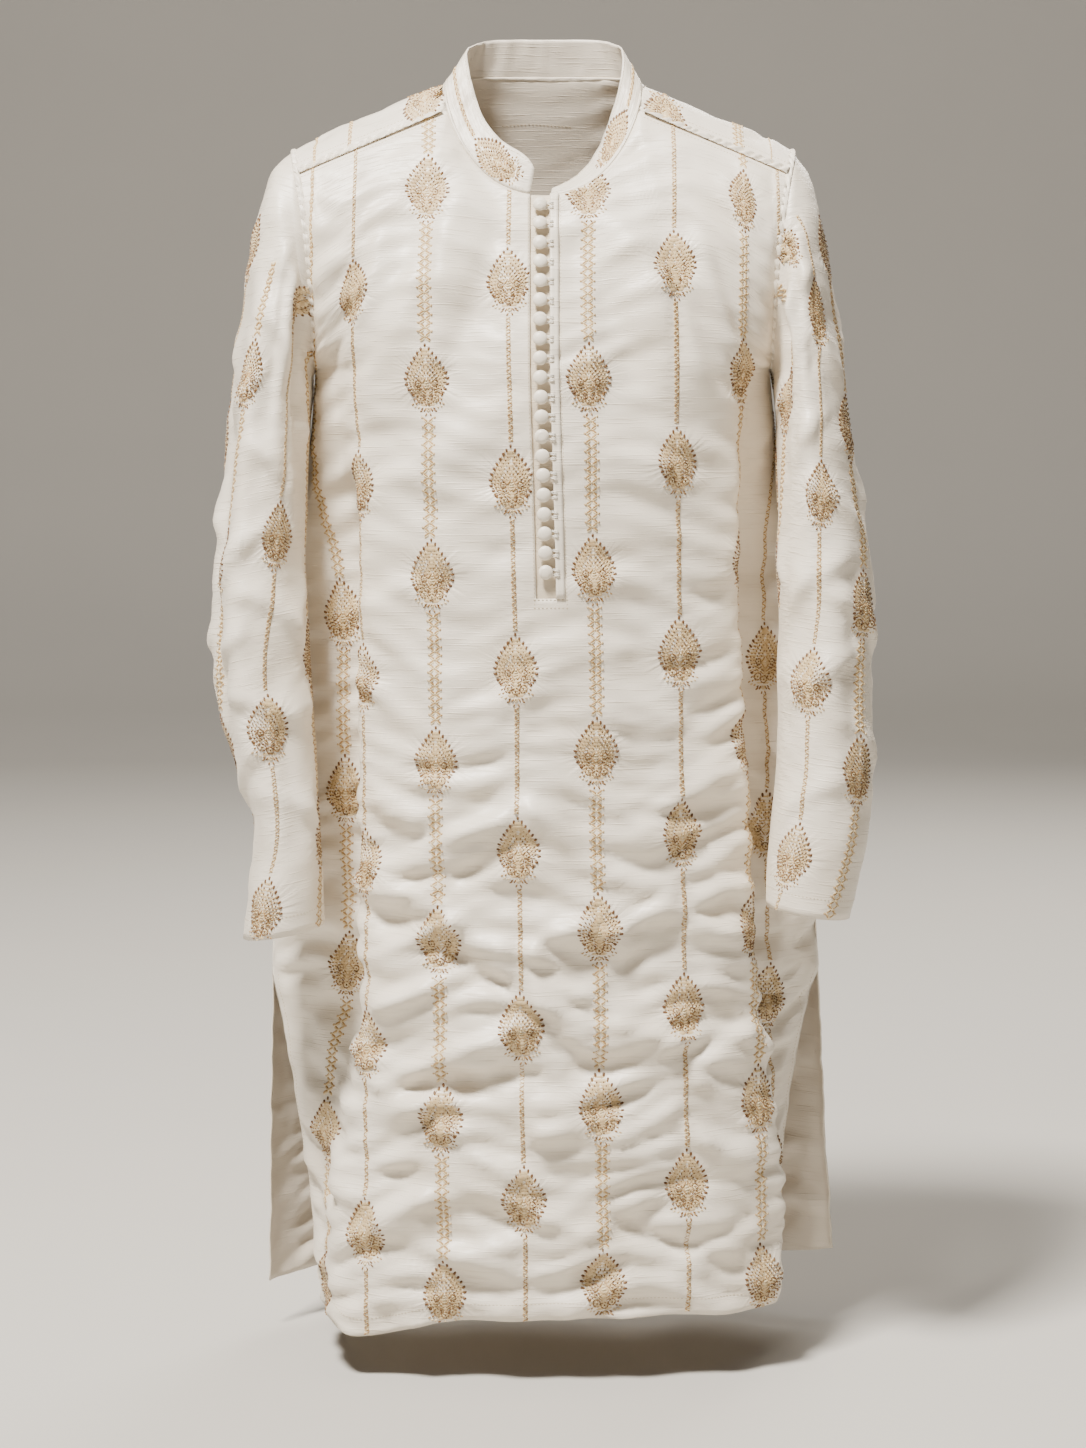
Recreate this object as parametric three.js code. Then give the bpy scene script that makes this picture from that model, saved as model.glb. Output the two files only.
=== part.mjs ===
// A long kurta in slubbed silk, filled out as if worn, with nobody in it.
// Millimetres, +Z up, the front faces -Y and the viewer's right is +X.
// The origin lies in the middle of the neck, level with the high points of the shoulders.
// Every piece of cloth is a thin wall. Heights are given as distances down from the origin.
import * as THREE from 'three';

// Driving sizes
const CLOTH = 1.5;
const SEAM_GAP = 0.3;
const LENGTH = 1074;
const ARMPIT = 248;
const SLIT_TOP = 789;
const COLLAR_HEIGHT = 36;
const COLLAR_SEAT = 0.8;
const PLACKET_END = 444;
const OPENING_HALF = 8.5;
const STRIP_REACH = 19;
const BINDING_WIDTH = 7.5;
const BUTTON = { count: 20, top: 111, pitch: 16.4, radius: 6.4, height: 8.2, stem: 2.2 };
const LOOP = { strand: 0.7, clear: 0.3, ends: 2.6, level: -0.6, halfTurn: 0.58 * Math.PI };

// The largest folds: the front panel stands forward of its sides by one deep fold each side
const FOLD_DEPTH = 34;
const FOLD_HIDES = 9;

// Numbers of cells in the walls
const LOWER_ROWS = 22;
const FRONT_UPPER_ROWS = 8;
const BACK_UPPER_ROWS = 11;

const COLOURS = { cloth: 0xe8e2d6, button: 0xe4dac8, loop: 0xf0ebe2 };

// A table is a list of rows with named columns; its first column rises from row to row
function table(names, rows) {
  const keys = names.split(' ');
  return rows.map((row) => Object.fromEntries(keys.map((key, i) => [key, row[i]])));
}

// The side seams, from the armpit to the top of the slit
const SIDE_SEAM = {
  left: table('down x y', [
    [248, 200, 2], [300, 205, 4], [357, 211, 8], [420, 218, 12],
    [500, 226, 15], [610, 236, 18], [710, 243, 24], [789, 246, 32],
  ]),
  right: table('down x y', [
    [248, 200, 2], [300, 205, 4], [357, 210, 8], [420, 217, 12],
    [500, 225, 15], [610, 236, 18], [710, 245, 24], [789, 250, 32],
  ]),
};

// Below the slit's top the front and the back part, and each has edges of its own
const FRONT_EDGE = {
  left: table('down x y', [
    [789, 246, 32], [835, 236, 28], [890, 226, 24], [950, 217, 21], [1005, 209, 19], [1074, 203, 18],
  ]),
  right: table('down x y', [
    [789, 250, 32], [830, 238, 28], [890, 227, 24], [940, 220, 21], [985, 216, 19], [1074, 211, 18],
  ]),
};
const BACK_EDGE = {
  left: table('down x y', [
    [789, 246, 32], [835, 247, 42], [894, 250, 49], [1002, 252, 54], [1074, 254, 60],
  ]),
  right: table('down x y', [
    [789, 250, 32], [830, 254, 51], [918, 260, 69], [997, 266, 84], [1074, 272, 98],
  ]),
};

// The front panel's fold lines; tuck is 0 where the cloth runs on flat and 1 where it folds back
const FOLD_LINE = {
  left: table('down x y tuck', [
    [248, 150, -78, 0], [300, 152, -76, 0.15], [357, 156, -72, 0.6], [420, 158, -68, 1],
    [535, 159, -66, 1], [667, 160, -66, 1], [800, 162, -68, 0.95], [889, 172, -72, 0.5],
    [978, 181, -76, 0.25], [1074, 186, -80, 0.2],
  ]),
  right: table('down x y tuck', [
    [248, 158, -74, 0], [300, 164, -70, 0.35], [357, 167, -68, 0.8], [420, 168, -66, 1],
    [535, 173, -64, 1], [667, 181, -63, 1], [800, 189, -63, 1], [889, 203, -62, 0.9],
    [978, 212, -60, 0.7], [1074, 205, -66, 0.3],
  ]),
};

// The middle lines: how far forward the front stands, how far back the back, and the placket's lean
const MIDDLE = table('down front back lean', [
  [100, -80, 100, -5], [248, -112, 125, -2.5], [430, -116, 120, 2.4], [610, -118, 117, 5],
  [800, -119, 119, 8], [1074, -118, 122, 12],
]);

// How far the hem hangs below LENGTH, by distance across
const HEM_DIP = table('x dip', [
  [-260, 12], [-200, 8], [-160, 18], [-90, 2], [0, -2], [100, -4], [180, -2], [280, -10],
]);

// The top of the shoulders, by distance from the middle; inside the neck it only guides the curves
const SHOULDER_TOP = table('x down', [
  [0, -14], [50, -9], [87, 0], [116, 11], [156, 26], [195, 42], [222, 60],
]);
const SHOULDER_TOP_Y = 4;
const CHEST_ROUNDNESS = 1.3;
const SHOULDER_ROUNDNESS = 1.9;
const OVER_SHOULDER_DEPTH = 100;

// Soft upright folds in the lower back: place across (0 left to 1 right), depth at the hem
const BACK_FOLDS = table('across depth', [
  [0, 0], [0.13, -7], [0.26, 9], [0.38, -8], [0.5, 8], [0.61, -6], [0.73, 10], [0.87, -9], [1, 0],
]);
const BACK_FOLD_START = 330;

// The neck seam, right half, from the middle of the front to the middle of the back
const NECK_HALF = table('x y down', [
  [0, -66, 101], [20, -65, 99], [46, -56, 86], [68, -41, 61], [84, -20, 24],
  [87, 2, 0], [80, 24, -5], [60, 43, -8], [32, 52, -9], [0, 54, -9],
]);
const NECK_POINT_ROW = 4;
const NECK_TILT = { middle: 25, side: 50 };

// The collar's direction of rise, by place round the neck (0 left front end to 1 right front end)
const COLLAR_RISE = table('around x y z', [
  [0, 6, 8, 34], [0.12, 14, 11, 31], [0.22, 21, 12, 26], [0.32, 18, 3, 30], [0.42, 6, -8, 34],
  [0.5, 0, -9, 34], [0.58, -6, -8, 34], [0.68, -17, 3, 31], [0.78, -15, 14, 28],
  [0.88, -9, 26, 20], [0.95, -3, 33, 12], [1, 3, 33, 11],
]);
const COLLAR_ROWS = 3;
const COLLAR_END_HEIGHTS = [0.62, 0.9, 0.98];

// The armhole, an oval in a plane near x = 200
const ARMHOLE = { y: 2, down: 153, halfDepth: 67, halfHeight: 95, x: 200, lean: 18, hollow: 3 };
// How far from the armhole, as a share of a panel's half width, its pull on the panel begins
const ARMHOLE_REACH = 0.45;
// How soon, away from the middle, a panel's columns lean to share out its longer top line
const TOP_SPREAD = 1.3;
const SHOULDER_SEAM_ANGLE = THREE.MathUtils.degToRad(141);

// The sleeves: each row is one ring, given by its outer, inner, front and back points
const SLEEVE_ROWS = 20;
const SLEEVE = {
  left: table('ring outX outY outDown inX inY inDown front back', [
    [0, 218, 2, 58, 200, 2, 248, -65, 69], [0.06, 236, 3, 74, 203, 0, 257, -71, 68],
    [0.14, 249, 0, 112, 203, -6, 270, -76, 64], [0.24, 259, -8, 168, 205, -16, 294, -80, 57],
    [0.34, 267, -16, 228, 206, -26, 330, -86, 46], [0.44, 275, -24, 292, 207, -34, 372, -93, 34],
    [0.54, 282, -32, 362, 208, -42, 418, -99, 22], [0.63, 288, -41, 428, 205, -49, 465, -105, 11],
    [0.71, 288, -49, 492, 203, -55, 511, -110, 3], [0.79, 281, -55, 550, 200, -59, 556, -114, -2],
    [0.85, 264, -59, 600, 197, -62, 602, -117, -7], [0.91, 252, -63, 650, 195, -66, 648, -119, -14],
    [0.96, 257, -67, 700, 192, -70, 690, -121, -24], [1, 261, -71, 742, 190, -74, 729, -122, -34],
  ]),
  right: table('ring outX outY outDown inX inY inDown front back', [
    [0, 218, 2, 58, 200, 2, 248, -65, 69], [0.06, 234, 3, 84, 203, 0, 256, -71, 68],
    [0.14, 245, 0, 130, 203, -6, 268, -76, 64], [0.24, 254, -8, 186, 205, -16, 292, -80, 57],
    [0.34, 262, -16, 240, 205, -26, 328, -86, 46], [0.44, 269, -24, 300, 206, -34, 370, -93, 34],
    [0.54, 278, -32, 366, 204, -42, 416, -99, 22], [0.63, 288, -41, 430, 206, -49, 463, -105, 11],
    [0.71, 287, -49, 490, 204, -55, 509, -110, 3], [0.79, 288, -55, 548, 205, -59, 554, -114, -2],
    [0.85, 288, -59, 596, 203, -62, 598, -117, -7], [0.91, 284, -63, 642, 199, -66, 640, -119, -14],
    [0.96, 277, -67, 688, 195, -70, 680, -121, -24], [1, 267, -71, 724, 194, -74, 713, -122, -34],
  ]),
};

// Folds along the sleeves: angle round from the underarm, first and last ring, height, half width
const SLEEVE_FOLDS = {
  left: table('angle from to height spread', [
    [112, 0.1, 0.82, 7, 16], [146, 0.3, 0.86, -8, 15], [66, 0.62, 0.98, -5, 18],
    [205, 0.5, 0.95, -5, 22], [300, 0.2, 0.9, -6, 24],
  ]),
  right: table('angle from to height spread', [
    [72, 0.05, 0.6, 6, 18], [118, 0.55, 0.9, -6, 16], [60, 0.6, 0.78, -7, 15],
    [200, 0.45, 0.95, -5, 22], [295, 0.25, 0.92, -6, 24],
  ]),
};

// How long, along a sleeve, a fold takes to rise or to fade
const FOLD_FADE = 0.15;

// The row of a table at a level, every column joined smoothly from row to row
function at(rows, level) {
  const keys = Object.keys(rows[0]);
  const first = keys[0];
  const last = rows.length - 1;
  const place = THREE.MathUtils.clamp(level, rows[0][first], rows[last][first]);
  let i = 0;
  while (i < last - 1 && place > rows[i + 1][first]) i += 1;
  const [a, b] = [rows[i], rows[i + 1]];
  const [before, after] = [rows[Math.max(0, i - 1)], rows[Math.min(last, i + 2)]];
  const step = b[first] - a[first];
  const t = (place - a[first]) / step;
  const result = {};
  for (const key of keys) {
    const slopeA = step * (b[key] - before[key]) / (b[first] - before[first]);
    const slopeB = step * (after[key] - a[key]) / (after[first] - a[first]);
    result[key] = hermite(a[key], slopeA, b[key], slopeB, t);
  }
  return result;
}

function hermite(a, slopeA, b, slopeB, t) {
  const t2 = t * t;
  const t3 = t2 * t;
  return a * (2 * t3 - 3 * t2 + 1) + slopeA * (t3 - 2 * t2 + t)
    + b * (3 * t2 - 2 * t3) + slopeB * (t3 - t2);
}

const vector = (x, y, z) => new THREE.Vector3(x, y, z);
const mix = THREE.MathUtils.lerp;
const smooth = THREE.MathUtils.smoothstep;
const handSign = (hand) => (hand === 'left' ? -1 : 1);

// Where a panel's side runs: down the side seam first, then along its own edge of the slit
const sideOf = (edges, hand, down) => at(down <= SLIT_TOP ? SIDE_SEAM[hand] : edges[hand], down);

// Lines of the front's face between the opening and the fold line: shares of the way across and
// back to it, and the share of the placket's lean that they follow
const FACE_LINES = table('across deep lean', [[0.36, 0.1, 0.6], [0.7, 0.38, 0]]);
const STRIP_FALL = 0.6;

// The fold's root and the wing behind it, as shares of the way to the side
const FLAT_ROOT = { across: 0.62, deep: 0.42 };
const FLAT_WING = { across: 0.9, deep: 0.72 };
const FOLDED_WING = { across: 0.5, deep: 0.38 };

// One half of the front's section, from beside the opening out to the side
function frontHalf(hand, down) {
  const sign = handSign(hand);
  const side = sideOf(FRONT_EDGE, hand, down);
  const fold = at(FOLD_LINE[hand], down);
  const middle = at(MIDDLE, down);
  const between = (a, b, share) => ({ x: mix(a.x, b.x, share.across), y: mix(a.y, b.y, share.deep) });
  const lerp = (a, b, t) => between(a, b, { across: t, deep: t });
  const foldedRoot = { x: fold.x - FOLD_HIDES, y: fold.y + FOLD_DEPTH };
  const root = lerp(between(fold, side, FLAT_ROOT), foldedRoot, fold.tuck);
  const wing = lerp(between(fold, side, FLAT_WING), between(root, side, FOLDED_WING), fold.tuck);
  const strip = sign < 0 ? STRIP_REACH : OPENING_HALF + BINDING_WIDTH;
  const points = [
    [sign * OPENING_HALF + middle.lean, middle.front],
    [sign * strip + middle.lean, middle.front + STRIP_FALL],
    ...FACE_LINES.map(({ across, deep, lean }) => (
      [sign * fold.x * across + lean * middle.lean, mix(middle.front, fold.y, deep)])),
    [sign * fold.x, fold.y],
    [sign * root.x, root.y],
    [sign * wing.x, wing.y],
    [sign * side.x, side.y],
  ];
  return points.map(([x, y]) => vector(x, y, -down));
}

// Cells between neighbouring lines of a front half, from the opening out
const FRONT_CELLS = [1, 2, 3, 3, 3, 3, 2];

// A curve through a section's points, with a point beyond each end that sets how it starts
const BEYOND = 60;
function sectionCurve(points, towards) {
  const first = points[0].clone().setY(points[0].y + towards * BEYOND);
  const end = points[points.length - 1];
  const last = end.clone().setY(end.y + towards * BEYOND);
  return new THREE.CatmullRomCurve3([first, ...points, last], false, 'centripetal');
}

// Points on a section: cells[i] of them between line i and line i + 1
function sampleSection(curve, cells) {
  const spans = curve.points.length - 1;
  const result = [];
  cells.forEach((count, line) => {
    for (let k = 0; k < count; k += 1) result.push(curve.getPoint((line + 1 + k / count) / spans));
  });
  result.push(curve.getPoint((cells.length + 1) / spans));
  return result;
}

function frontSection(down) {
  const lines = [...frontHalf('left', down).reverse(), ...frontHalf('right', down)];
  const cells = [...FRONT_CELLS].reverse().concat(1, FRONT_CELLS);
  return sampleSection(sectionCurve(lines, 1), cells);
}

// Powers that round the back's section: in depth and in width
const BACK_POWER = { depth: 0.75, width: 0.9 };

function backSection(down) {
  const left = sideOf(BACK_EDGE, 'left', down);
  const right = sideOf(BACK_EDGE, 'right', down);
  const middle = at(MIDDLE, down);
  const grown = smooth(down, BACK_FOLD_START, LENGTH);
  const lines = BACK_FOLDS.map(({ across, depth }) => {
    const turn = Math.PI * across;
    const halfWidth = across < 0.5 ? left.x : right.x;
    const sideY = mix(left.y, right.y, across);
    const bow = Math.sin(turn) ** BACK_POWER.depth;
    return vector(
      -halfWidth * Math.sign(Math.cos(turn)) * Math.abs(Math.cos(turn)) ** BACK_POWER.width,
      mix(sideY, middle.back, bow) + depth * grown,
      -down,
    );
  });
  const cells = Array(BACK_FOLDS.length - 1).fill(3);
  return sampleSection(sectionCurve(lines, -1), cells);
}

// The neck seam as one closed curve; lengths along it are measured from the middle of the front
const NECK_STEPS = 40;
const neckCurve = makeNeckCurve();
const neckLengths = neckCurve.getLengths(NECK_STEPS * neckCurve.points.length);
const NECK_TOTAL = neckLengths[neckLengths.length - 1];
const NECK_POINT_AT = neckLengths[NECK_STEPS * NECK_POINT_ROW];

function makeNeckCurve() {
  const right = NECK_HALF.map(({ x, y, down }) => vector(x, y, -down));
  const left = NECK_HALF.slice(1, -1).reverse().map(({ x, y, down }) => vector(-x, y, -down));
  const curve = new THREE.CatmullRomCurve3([...right, ...left], true, 'centripetal');
  curve.arcLengthDivisions = NECK_STEPS * curve.points.length;
  return curve;
}

const neckAt = (length) => neckCurve.getPointAt(THREE.MathUtils.euclideanModulo(length / NECK_TOTAL, 1));

// The way out of the cloth at the neck seam, halfway between the panel's and the collar's
function neckNormal(point) {
  const side = (point.x / NECK_HALF[NECK_POINT_ROW].x) ** 2;
  const tilt = THREE.MathUtils.degToRad(mix(NECK_TILT.middle, NECK_TILT.side, side));
  const out = vector(point.x, point.y - SHOULDER_TOP_Y, 0).normalize();
  return out.multiplyScalar(Math.cos(tilt)).add(vector(0, 0, Math.sin(tilt)));
}

// A point of the armhole; the angle runs from the underarm over the front to the top
function armholePoint(hand, angle) {
  const rise = (1 - Math.cos(angle)) / 2;
  const x = ARMHOLE.x + ARMHOLE.lean * rise ** 2 - ARMHOLE.hollow * Math.sin(angle) ** 2;
  return vector(
    handSign(hand) * x,
    ARMHOLE.y - ARMHOLE.halfDepth * Math.sin(angle),
    -ARMHOLE.down - ARMHOLE.halfHeight * Math.cos(angle),
  );
}

// The straight seam on the front of the shoulder, from the neck (0) to the armhole (1)
function shoulderSeam(hand, t) {
  const neckEnd = neckAt(handSign(hand) * NECK_POINT_AT);
  return neckEnd.lerp(armholePoint(hand, SHOULDER_SEAM_ANGLE), t);
}

// The way out of the cloth where the shoulder seam meets the sleeve
const SLEEVE_HEAD_NORMAL = vector(0.3, -0.62, 0.72);

function shoulderNormal(hand, t) {
  const neckEnd = neckNormal(neckAt(handSign(hand) * NECK_POINT_AT));
  const sleeveEnd = SLEEVE_HEAD_NORMAL.clone();
  sleeveEnd.x *= handSign(hand);
  return neckEnd.lerp(sleeveEnd, Math.sqrt(t)).normalize();
}

// A panel's top line at a length from its middle: along the neck first, then along the shoulder
function topLine(panel, length) {
  const hand = length < 0 ? 'left' : 'right';
  const sign = handSign(hand);
  const neckPart = panel === 'front' ? NECK_POINT_AT : NECK_TOTAL / 2 - NECK_POINT_AT;
  const seamLength = shoulderSeam(hand, 0).distanceTo(shoulderSeam(hand, 1));
  const onNeck = Math.abs(length) <= neckPart + 1e-6;
  const alongSeam = (Math.abs(length) - neckPart) / seamLength;
  const neckLength = panel === 'front' ? length : sign * (NECK_TOTAL / 2 - Math.abs(length));
  const point = onNeck ? neckAt(neckLength) : shoulderSeam(hand, Math.min(1, alongSeam));
  const normal = onNeck ? neckNormal(point) : shoulderNormal(hand, Math.min(1, alongSeam));
  return { point, normal, onNeck, hand, turn: turnAt(point, panel) };
}

const topLength = (panel) => (panel === 'front' ? NECK_POINT_AT : NECK_TOTAL / 2 - NECK_POINT_AT)
  + shoulderSeam('left', 0).distanceTo(shoulderSeam('left', 1));

// The upper body as rounded profiles over the shoulder; turn runs from the armpit's level (0)
// over the top (90 degrees) and down the other side
function bodyPoint(x, turn, depth, otherDepth) {
  const top = at(SHOULDER_TOP, Math.abs(x));
  const power = 2 / roundness(x);
  const reach = Math.abs(Math.cos(turn)) ** power * (turn < Math.PI / 2 ? depth : -otherDepth);
  const climb = (ARMPIT - top.down) * Math.sin(turn) ** power;
  return vector(x, SHOULDER_TOP_Y + reach, climb - ARMPIT);
}

const roundness = (x) => mix(CHEST_ROUNDNESS, SHOULDER_ROUNDNESS, smooth(Math.abs(x), 0, 150));

// The turn at which the upper body passes a point of a top line
function turnAt(point, panel) {
  const top = at(SHOULDER_TOP, Math.abs(point.x));
  const climb = Math.min(1, (ARMPIT + point.z) / (ARMPIT - top.down));
  const turn = Math.asin(climb ** (roundness(point.x) / 2));
  const inFront = point.y < SHOULDER_TOP_Y;
  return (panel === 'front') === inFront ? turn : Math.PI - turn;
}

// Distances along a row of points from its middle point, or from the middle of its middle cell
function lengthsFromMiddle(points) {
  const run = [0];
  for (let i = 1; i < points.length; i += 1) run.push(run[i - 1] + points[i].distanceTo(points[i - 1]));
  const middle = (points.length - 1) / 2;
  const zero = (run[Math.floor(middle)] + run[Math.ceil(middle)]) / 2;
  return run.map((length) => length - zero);
}

// One panel's outer face, row by row from the hem to its top line
function panelFace(panel) {
  const section = panel === 'front' ? frontSection : backSection;
  const upperRows = panel === 'front' ? FRONT_UPPER_ROWS : BACK_UPPER_ROWS;
  const armAngle = panel === 'front' ? SHOULDER_SEAM_ANGLE : SHOULDER_SEAM_ANGLE - 2 * Math.PI;
  const rows = [];
  for (let i = 0; i < LOWER_ROWS; i += 1) {
    const part = 1 - i / LOWER_ROWS;
    const row = section(mix(ARMPIT, LENGTH, part));
    row.forEach((point) => { point.z -= at(HEM_DIP, point.x).dip * part ** 2; });
    rows.push(row);
  }
  const base = section(ARMPIT);
  const lengths = lengthsFromMiddle(base);
  const half = lengths[lengths.length - 1];
  const lean = panel === 'front' ? at(MIDDLE, NECK_HALF[0].down).lean - at(MIDDLE, ARMPIT).lean : 0;
  const tops = lengths.map((length) => {
    const across = length / half;
    const spread = Math.min(1, TOP_SPREAD * across ** 2);
    return topLine(panel, mix(length + lean, across * topLength(panel), spread));
  });
  const sense = panel === 'front' ? -1 : 1;
  const column = (j, t) => {
    const end = tops[j].point;
    const depth = base[j].y - SHOULDER_TOP_Y;
    const over = sense * OVER_SHOULDER_DEPTH * Math.sqrt(1 - (end.x / SHOULDER_TOP.at(-1).x) ** 2);
    const point = (part) => {
      const x = mix(base[j].x, end.x, part * part * (3 - 2 * part));
      return bodyPoint(x, tops[j].turn * part, depth, over);
    };
    return point(t).addScaledVector(end.clone().sub(point(1)), t * t);
  };
  for (let i = 0; i <= upperRows; i += 1) {
    const t = i / upperRows;
    const ends = [0, base.length - 1];
    const shifts = ends.map((j) => armholePoint(tops[j].hand, armAngle * t).sub(column(j, t)));
    rows.push(base.map((_, j) => {
      const across = lengths[j] / half;
      const share = smooth(Math.abs(across), ARMHOLE_REACH, 1);
      return column(j, t).addScaledVector(shifts[across < 0 ? 0 : 1], share);
    }));
  }
  return { rows, tops };
}

// Outward normals of a grid of points; closed says that its columns meet in a ring
function gridNormals(rows, closed, flip) {
  const last = rows.length - 1;
  return rows.map((row, i) => row.map((_, j) => {
    const count = row.length;
    const wrap = (k) => (closed ? (k + count) % count : THREE.MathUtils.clamp(k, 0, count - 1));
    const along = rows[i][wrap(j + 1)].clone().sub(rows[i][wrap(j - 1)]);
    const up = rows[Math.min(last, i + 1)][j].clone().sub(rows[Math.max(0, i - 1)][j]);
    return along.cross(up).multiplyScalar(flip).normalize();
  }));
}

// A closed wall on a grid: an outer face, an inner face and rims round what is kept
function wall(outer, inner, closed, keep = () => true) {
  const rowCount = outer.length;
  const columnCount = outer[0].length;
  const cellColumns = closed ? columnCount : columnCount - 1;
  const kept = (i, j) => {
    const column = closed ? (j + cellColumns) % cellColumns : j;
    const inside = i >= 0 && i < rowCount - 1 && column >= 0 && column < cellColumns;
    return inside && keep(i, column);
  };
  const positions = [];
  const quad = (a, b, c, d) => [a, b, c, a, c, d].forEach((p) => positions.push(p.x, p.y, p.z));
  for (let i = 0; i < rowCount - 1; i += 1) {
    for (let j = 0; j < cellColumns; j += 1) {
      if (!kept(i, j)) continue;
      const k = (j + 1) % columnCount;
      const [a, b, c, d] = [outer[i][j], outer[i][k], outer[i + 1][k], outer[i + 1][j]];
      const [e, f, g, h] = [inner[i][j], inner[i][k], inner[i + 1][k], inner[i + 1][j]];
      quad(a, b, c, d);
      quad(h, g, f, e);
      if (!kept(i - 1, j)) quad(e, f, b, a);
      if (!kept(i + 1, j)) quad(d, c, g, h);
      if (!kept(i, j - 1)) quad(a, d, h, e);
      if (!kept(i, j + 1)) quad(f, g, c, b);
    }
  }
  const geometry = new THREE.BufferGeometry();
  geometry.setAttribute('position', new THREE.Float32BufferAttribute(positions, 3));
  return geometry;
}

const moved = (rows, normals, distance) => rows.map((row, i) => row.map(
  (point, j) => point.clone().addScaledVector(normals[i][j], distance)));

// A panel with its normals, its seams trimmed by half a gap
function makePanel(panel) {
  const { rows, tops } = panelFace(panel);
  const flip = panel === 'front' ? 1 : -1;
  const normals = gridNormals(rows, false, flip);
  const topRow = rows.length - 1;
  const lastColumn = rows[0].length - 1;
  const towards = panel === 'front' ? -1 : 1;
  for (let i = 0; i <= LOWER_ROWS; i += 1) {
    for (const j of [0, lastColumn]) {
      normals[i][j] = vector(j === 0 ? -1 : 1, 0, 0);
      rows[i][j].y += towards * SEAM_GAP / 2;
    }
  }
  tops.forEach((top, j) => {
    normals[topRow][j] = top.normal;
    if (top.onNeck) return;
    const slope = rows[topRow - 1][j].clone().sub(rows[topRow][j]).normalize();
    rows[topRow][j].addScaledVector(slope, SEAM_GAP / 2);
  });
  return { rows, normals, tops };
}

const front = makePanel('front');
const back = makePanel('back');

// The columns of the front that border the opening, its strip and its binding
const OPENING_COLUMN = FRONT_CELLS.reduce((sum, count) => sum + count, 0);
const BINDING_COLUMN = OPENING_COLUMN + 1 + FRONT_CELLS[0];
const STRIP_COLUMN = OPENING_COLUMN - FRONT_CELLS[0];
const OPENING_ROW = front.rows.findIndex((row) => row[OPENING_COLUMN].z > -PLACKET_END);

function frontPanel() {
  const inner = moved(front.rows, front.normals, -CLOTH);
  return wall(front.rows, inner, false, (i, j) => !(i >= OPENING_ROW && j === OPENING_COLUMN));
}

const flipped = (rows) => rows.map((row) => [...row].reverse());

function backPanel() {
  return wall(flipped(back.rows), flipped(moved(back.rows, back.normals, -CLOTH)), false);
}

// A strip on the front's own points between two columns, moved out or in and given its thickness
function frontStrip(fromColumn, toColumn, fromRow, lift, thickness) {
  const cut = (grid) => grid.slice(fromRow).map((row) => row.slice(fromColumn, toColumn + 1));
  const rows = cut(front.rows);
  const normals = cut(front.normals);
  const base = moved(rows, normals, lift);
  return wall(moved(rows, normals, lift + thickness), base, false);
}

// The collar stands on the neck seam's own points, and its front ends are rounded
function collarBase() {
  const neckTops = (piece, from, to) => piece.tops.slice(from, to).filter((top) => top.onNeck);
  const columns = front.tops.length;
  const leftFront = neckTops(front, 0, OPENING_COLUMN + 1).reverse();
  const rightFront = neckTops(front, OPENING_COLUMN + 1, columns).reverse();
  const around = neckTops(back, 0, back.tops.length);
  return [...leftFront, ...around, ...rightFront];
}

function collarGeometry() {
  const base = collarBase();
  const run = [0];
  for (let i = 1; i < base.length; i += 1) {
    run.push(run[i - 1] + base[i].point.distanceTo(base[i - 1].point));
  }
  const total = run[run.length - 1];
  const rows = [];
  for (let level = 0; level <= COLLAR_ROWS; level += 1) {
    rows.push(base.map(({ point }, j) => {
      const rise = at(COLLAR_RISE, run[j] / total);
      const end = COLLAR_END_HEIGHTS[Math.min(j, base.length - 1 - j)] ?? 1;
      const height = mix(COLLAR_SEAT, COLLAR_HEIGHT * end, level / COLLAR_ROWS);
      const direction = vector(rise.x, rise.y, rise.z).normalize();
      return point.clone().addScaledVector(direction, height);
    }));
  }
  const normals = gridNormals(rows, false, -1);
  base.forEach(({ normal }, j) => { normals[0][j] = normal; });
  return wall(flipped(rows), flipped(moved(rows, normals, -CLOTH)), false);
}

// A sleeve's rings start on the armhole's own points, a seam's gap away
function sleeveAngles() {
  const angles = [];
  for (let i = 0; i < FRONT_UPPER_ROWS; i += 1) {
    angles.push(SHOULDER_SEAM_ANGLE * i / FRONT_UPPER_ROWS);
  }
  const rest = 2 * Math.PI - SHOULDER_SEAM_ANGLE;
  for (let i = 0; i < BACK_UPPER_ROWS; i += 1) {
    angles.push(SHOULDER_SEAM_ANGLE + rest * i / BACK_UPPER_ROWS);
  }
  return angles;
}

function sleeveRise(hand, ring, angle) {
  const degrees = THREE.MathUtils.radToDeg(angle);
  return SLEEVE_FOLDS[hand].reduce((sum, fold) => {
    const start = smooth(ring, fold.from, fold.from + FOLD_FADE);
    const end = smooth(ring, fold.to - FOLD_FADE, fold.to);
    return sum + fold.height * start * (1 - end) * Math.exp(-(((degrees - fold.angle) / fold.spread) ** 2));
  }, 0);
}

function sleeveRing(hand, ring) {
  const sign = handSign(hand);
  const size = at(SLEEVE[hand], ring);
  const outer = vector(sign * size.outX, size.outY, -size.outDown);
  const inner = vector(sign * size.inX, size.inY, -size.inDown);
  const centre = outer.clone().add(inner).divideScalar(2).setY((size.front + size.back) / 2);
  const half = outer.clone().sub(inner).divideScalar(2);
  const depth = (size.back - size.front) / 2;
  return sleeveAngles().map((angle) => {
    if (ring === 0) return armholePoint(hand, angle).setX(armholePoint(hand, angle).x + sign * SEAM_GAP);
    const out = vector(0, -depth * Math.sin(angle), 0).addScaledVector(half, -Math.cos(angle));
    const rise = sleeveRise(hand, ring, angle);
    return centre.clone().add(out).addScaledVector(out.clone().normalize(), rise);
  });
}

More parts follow.
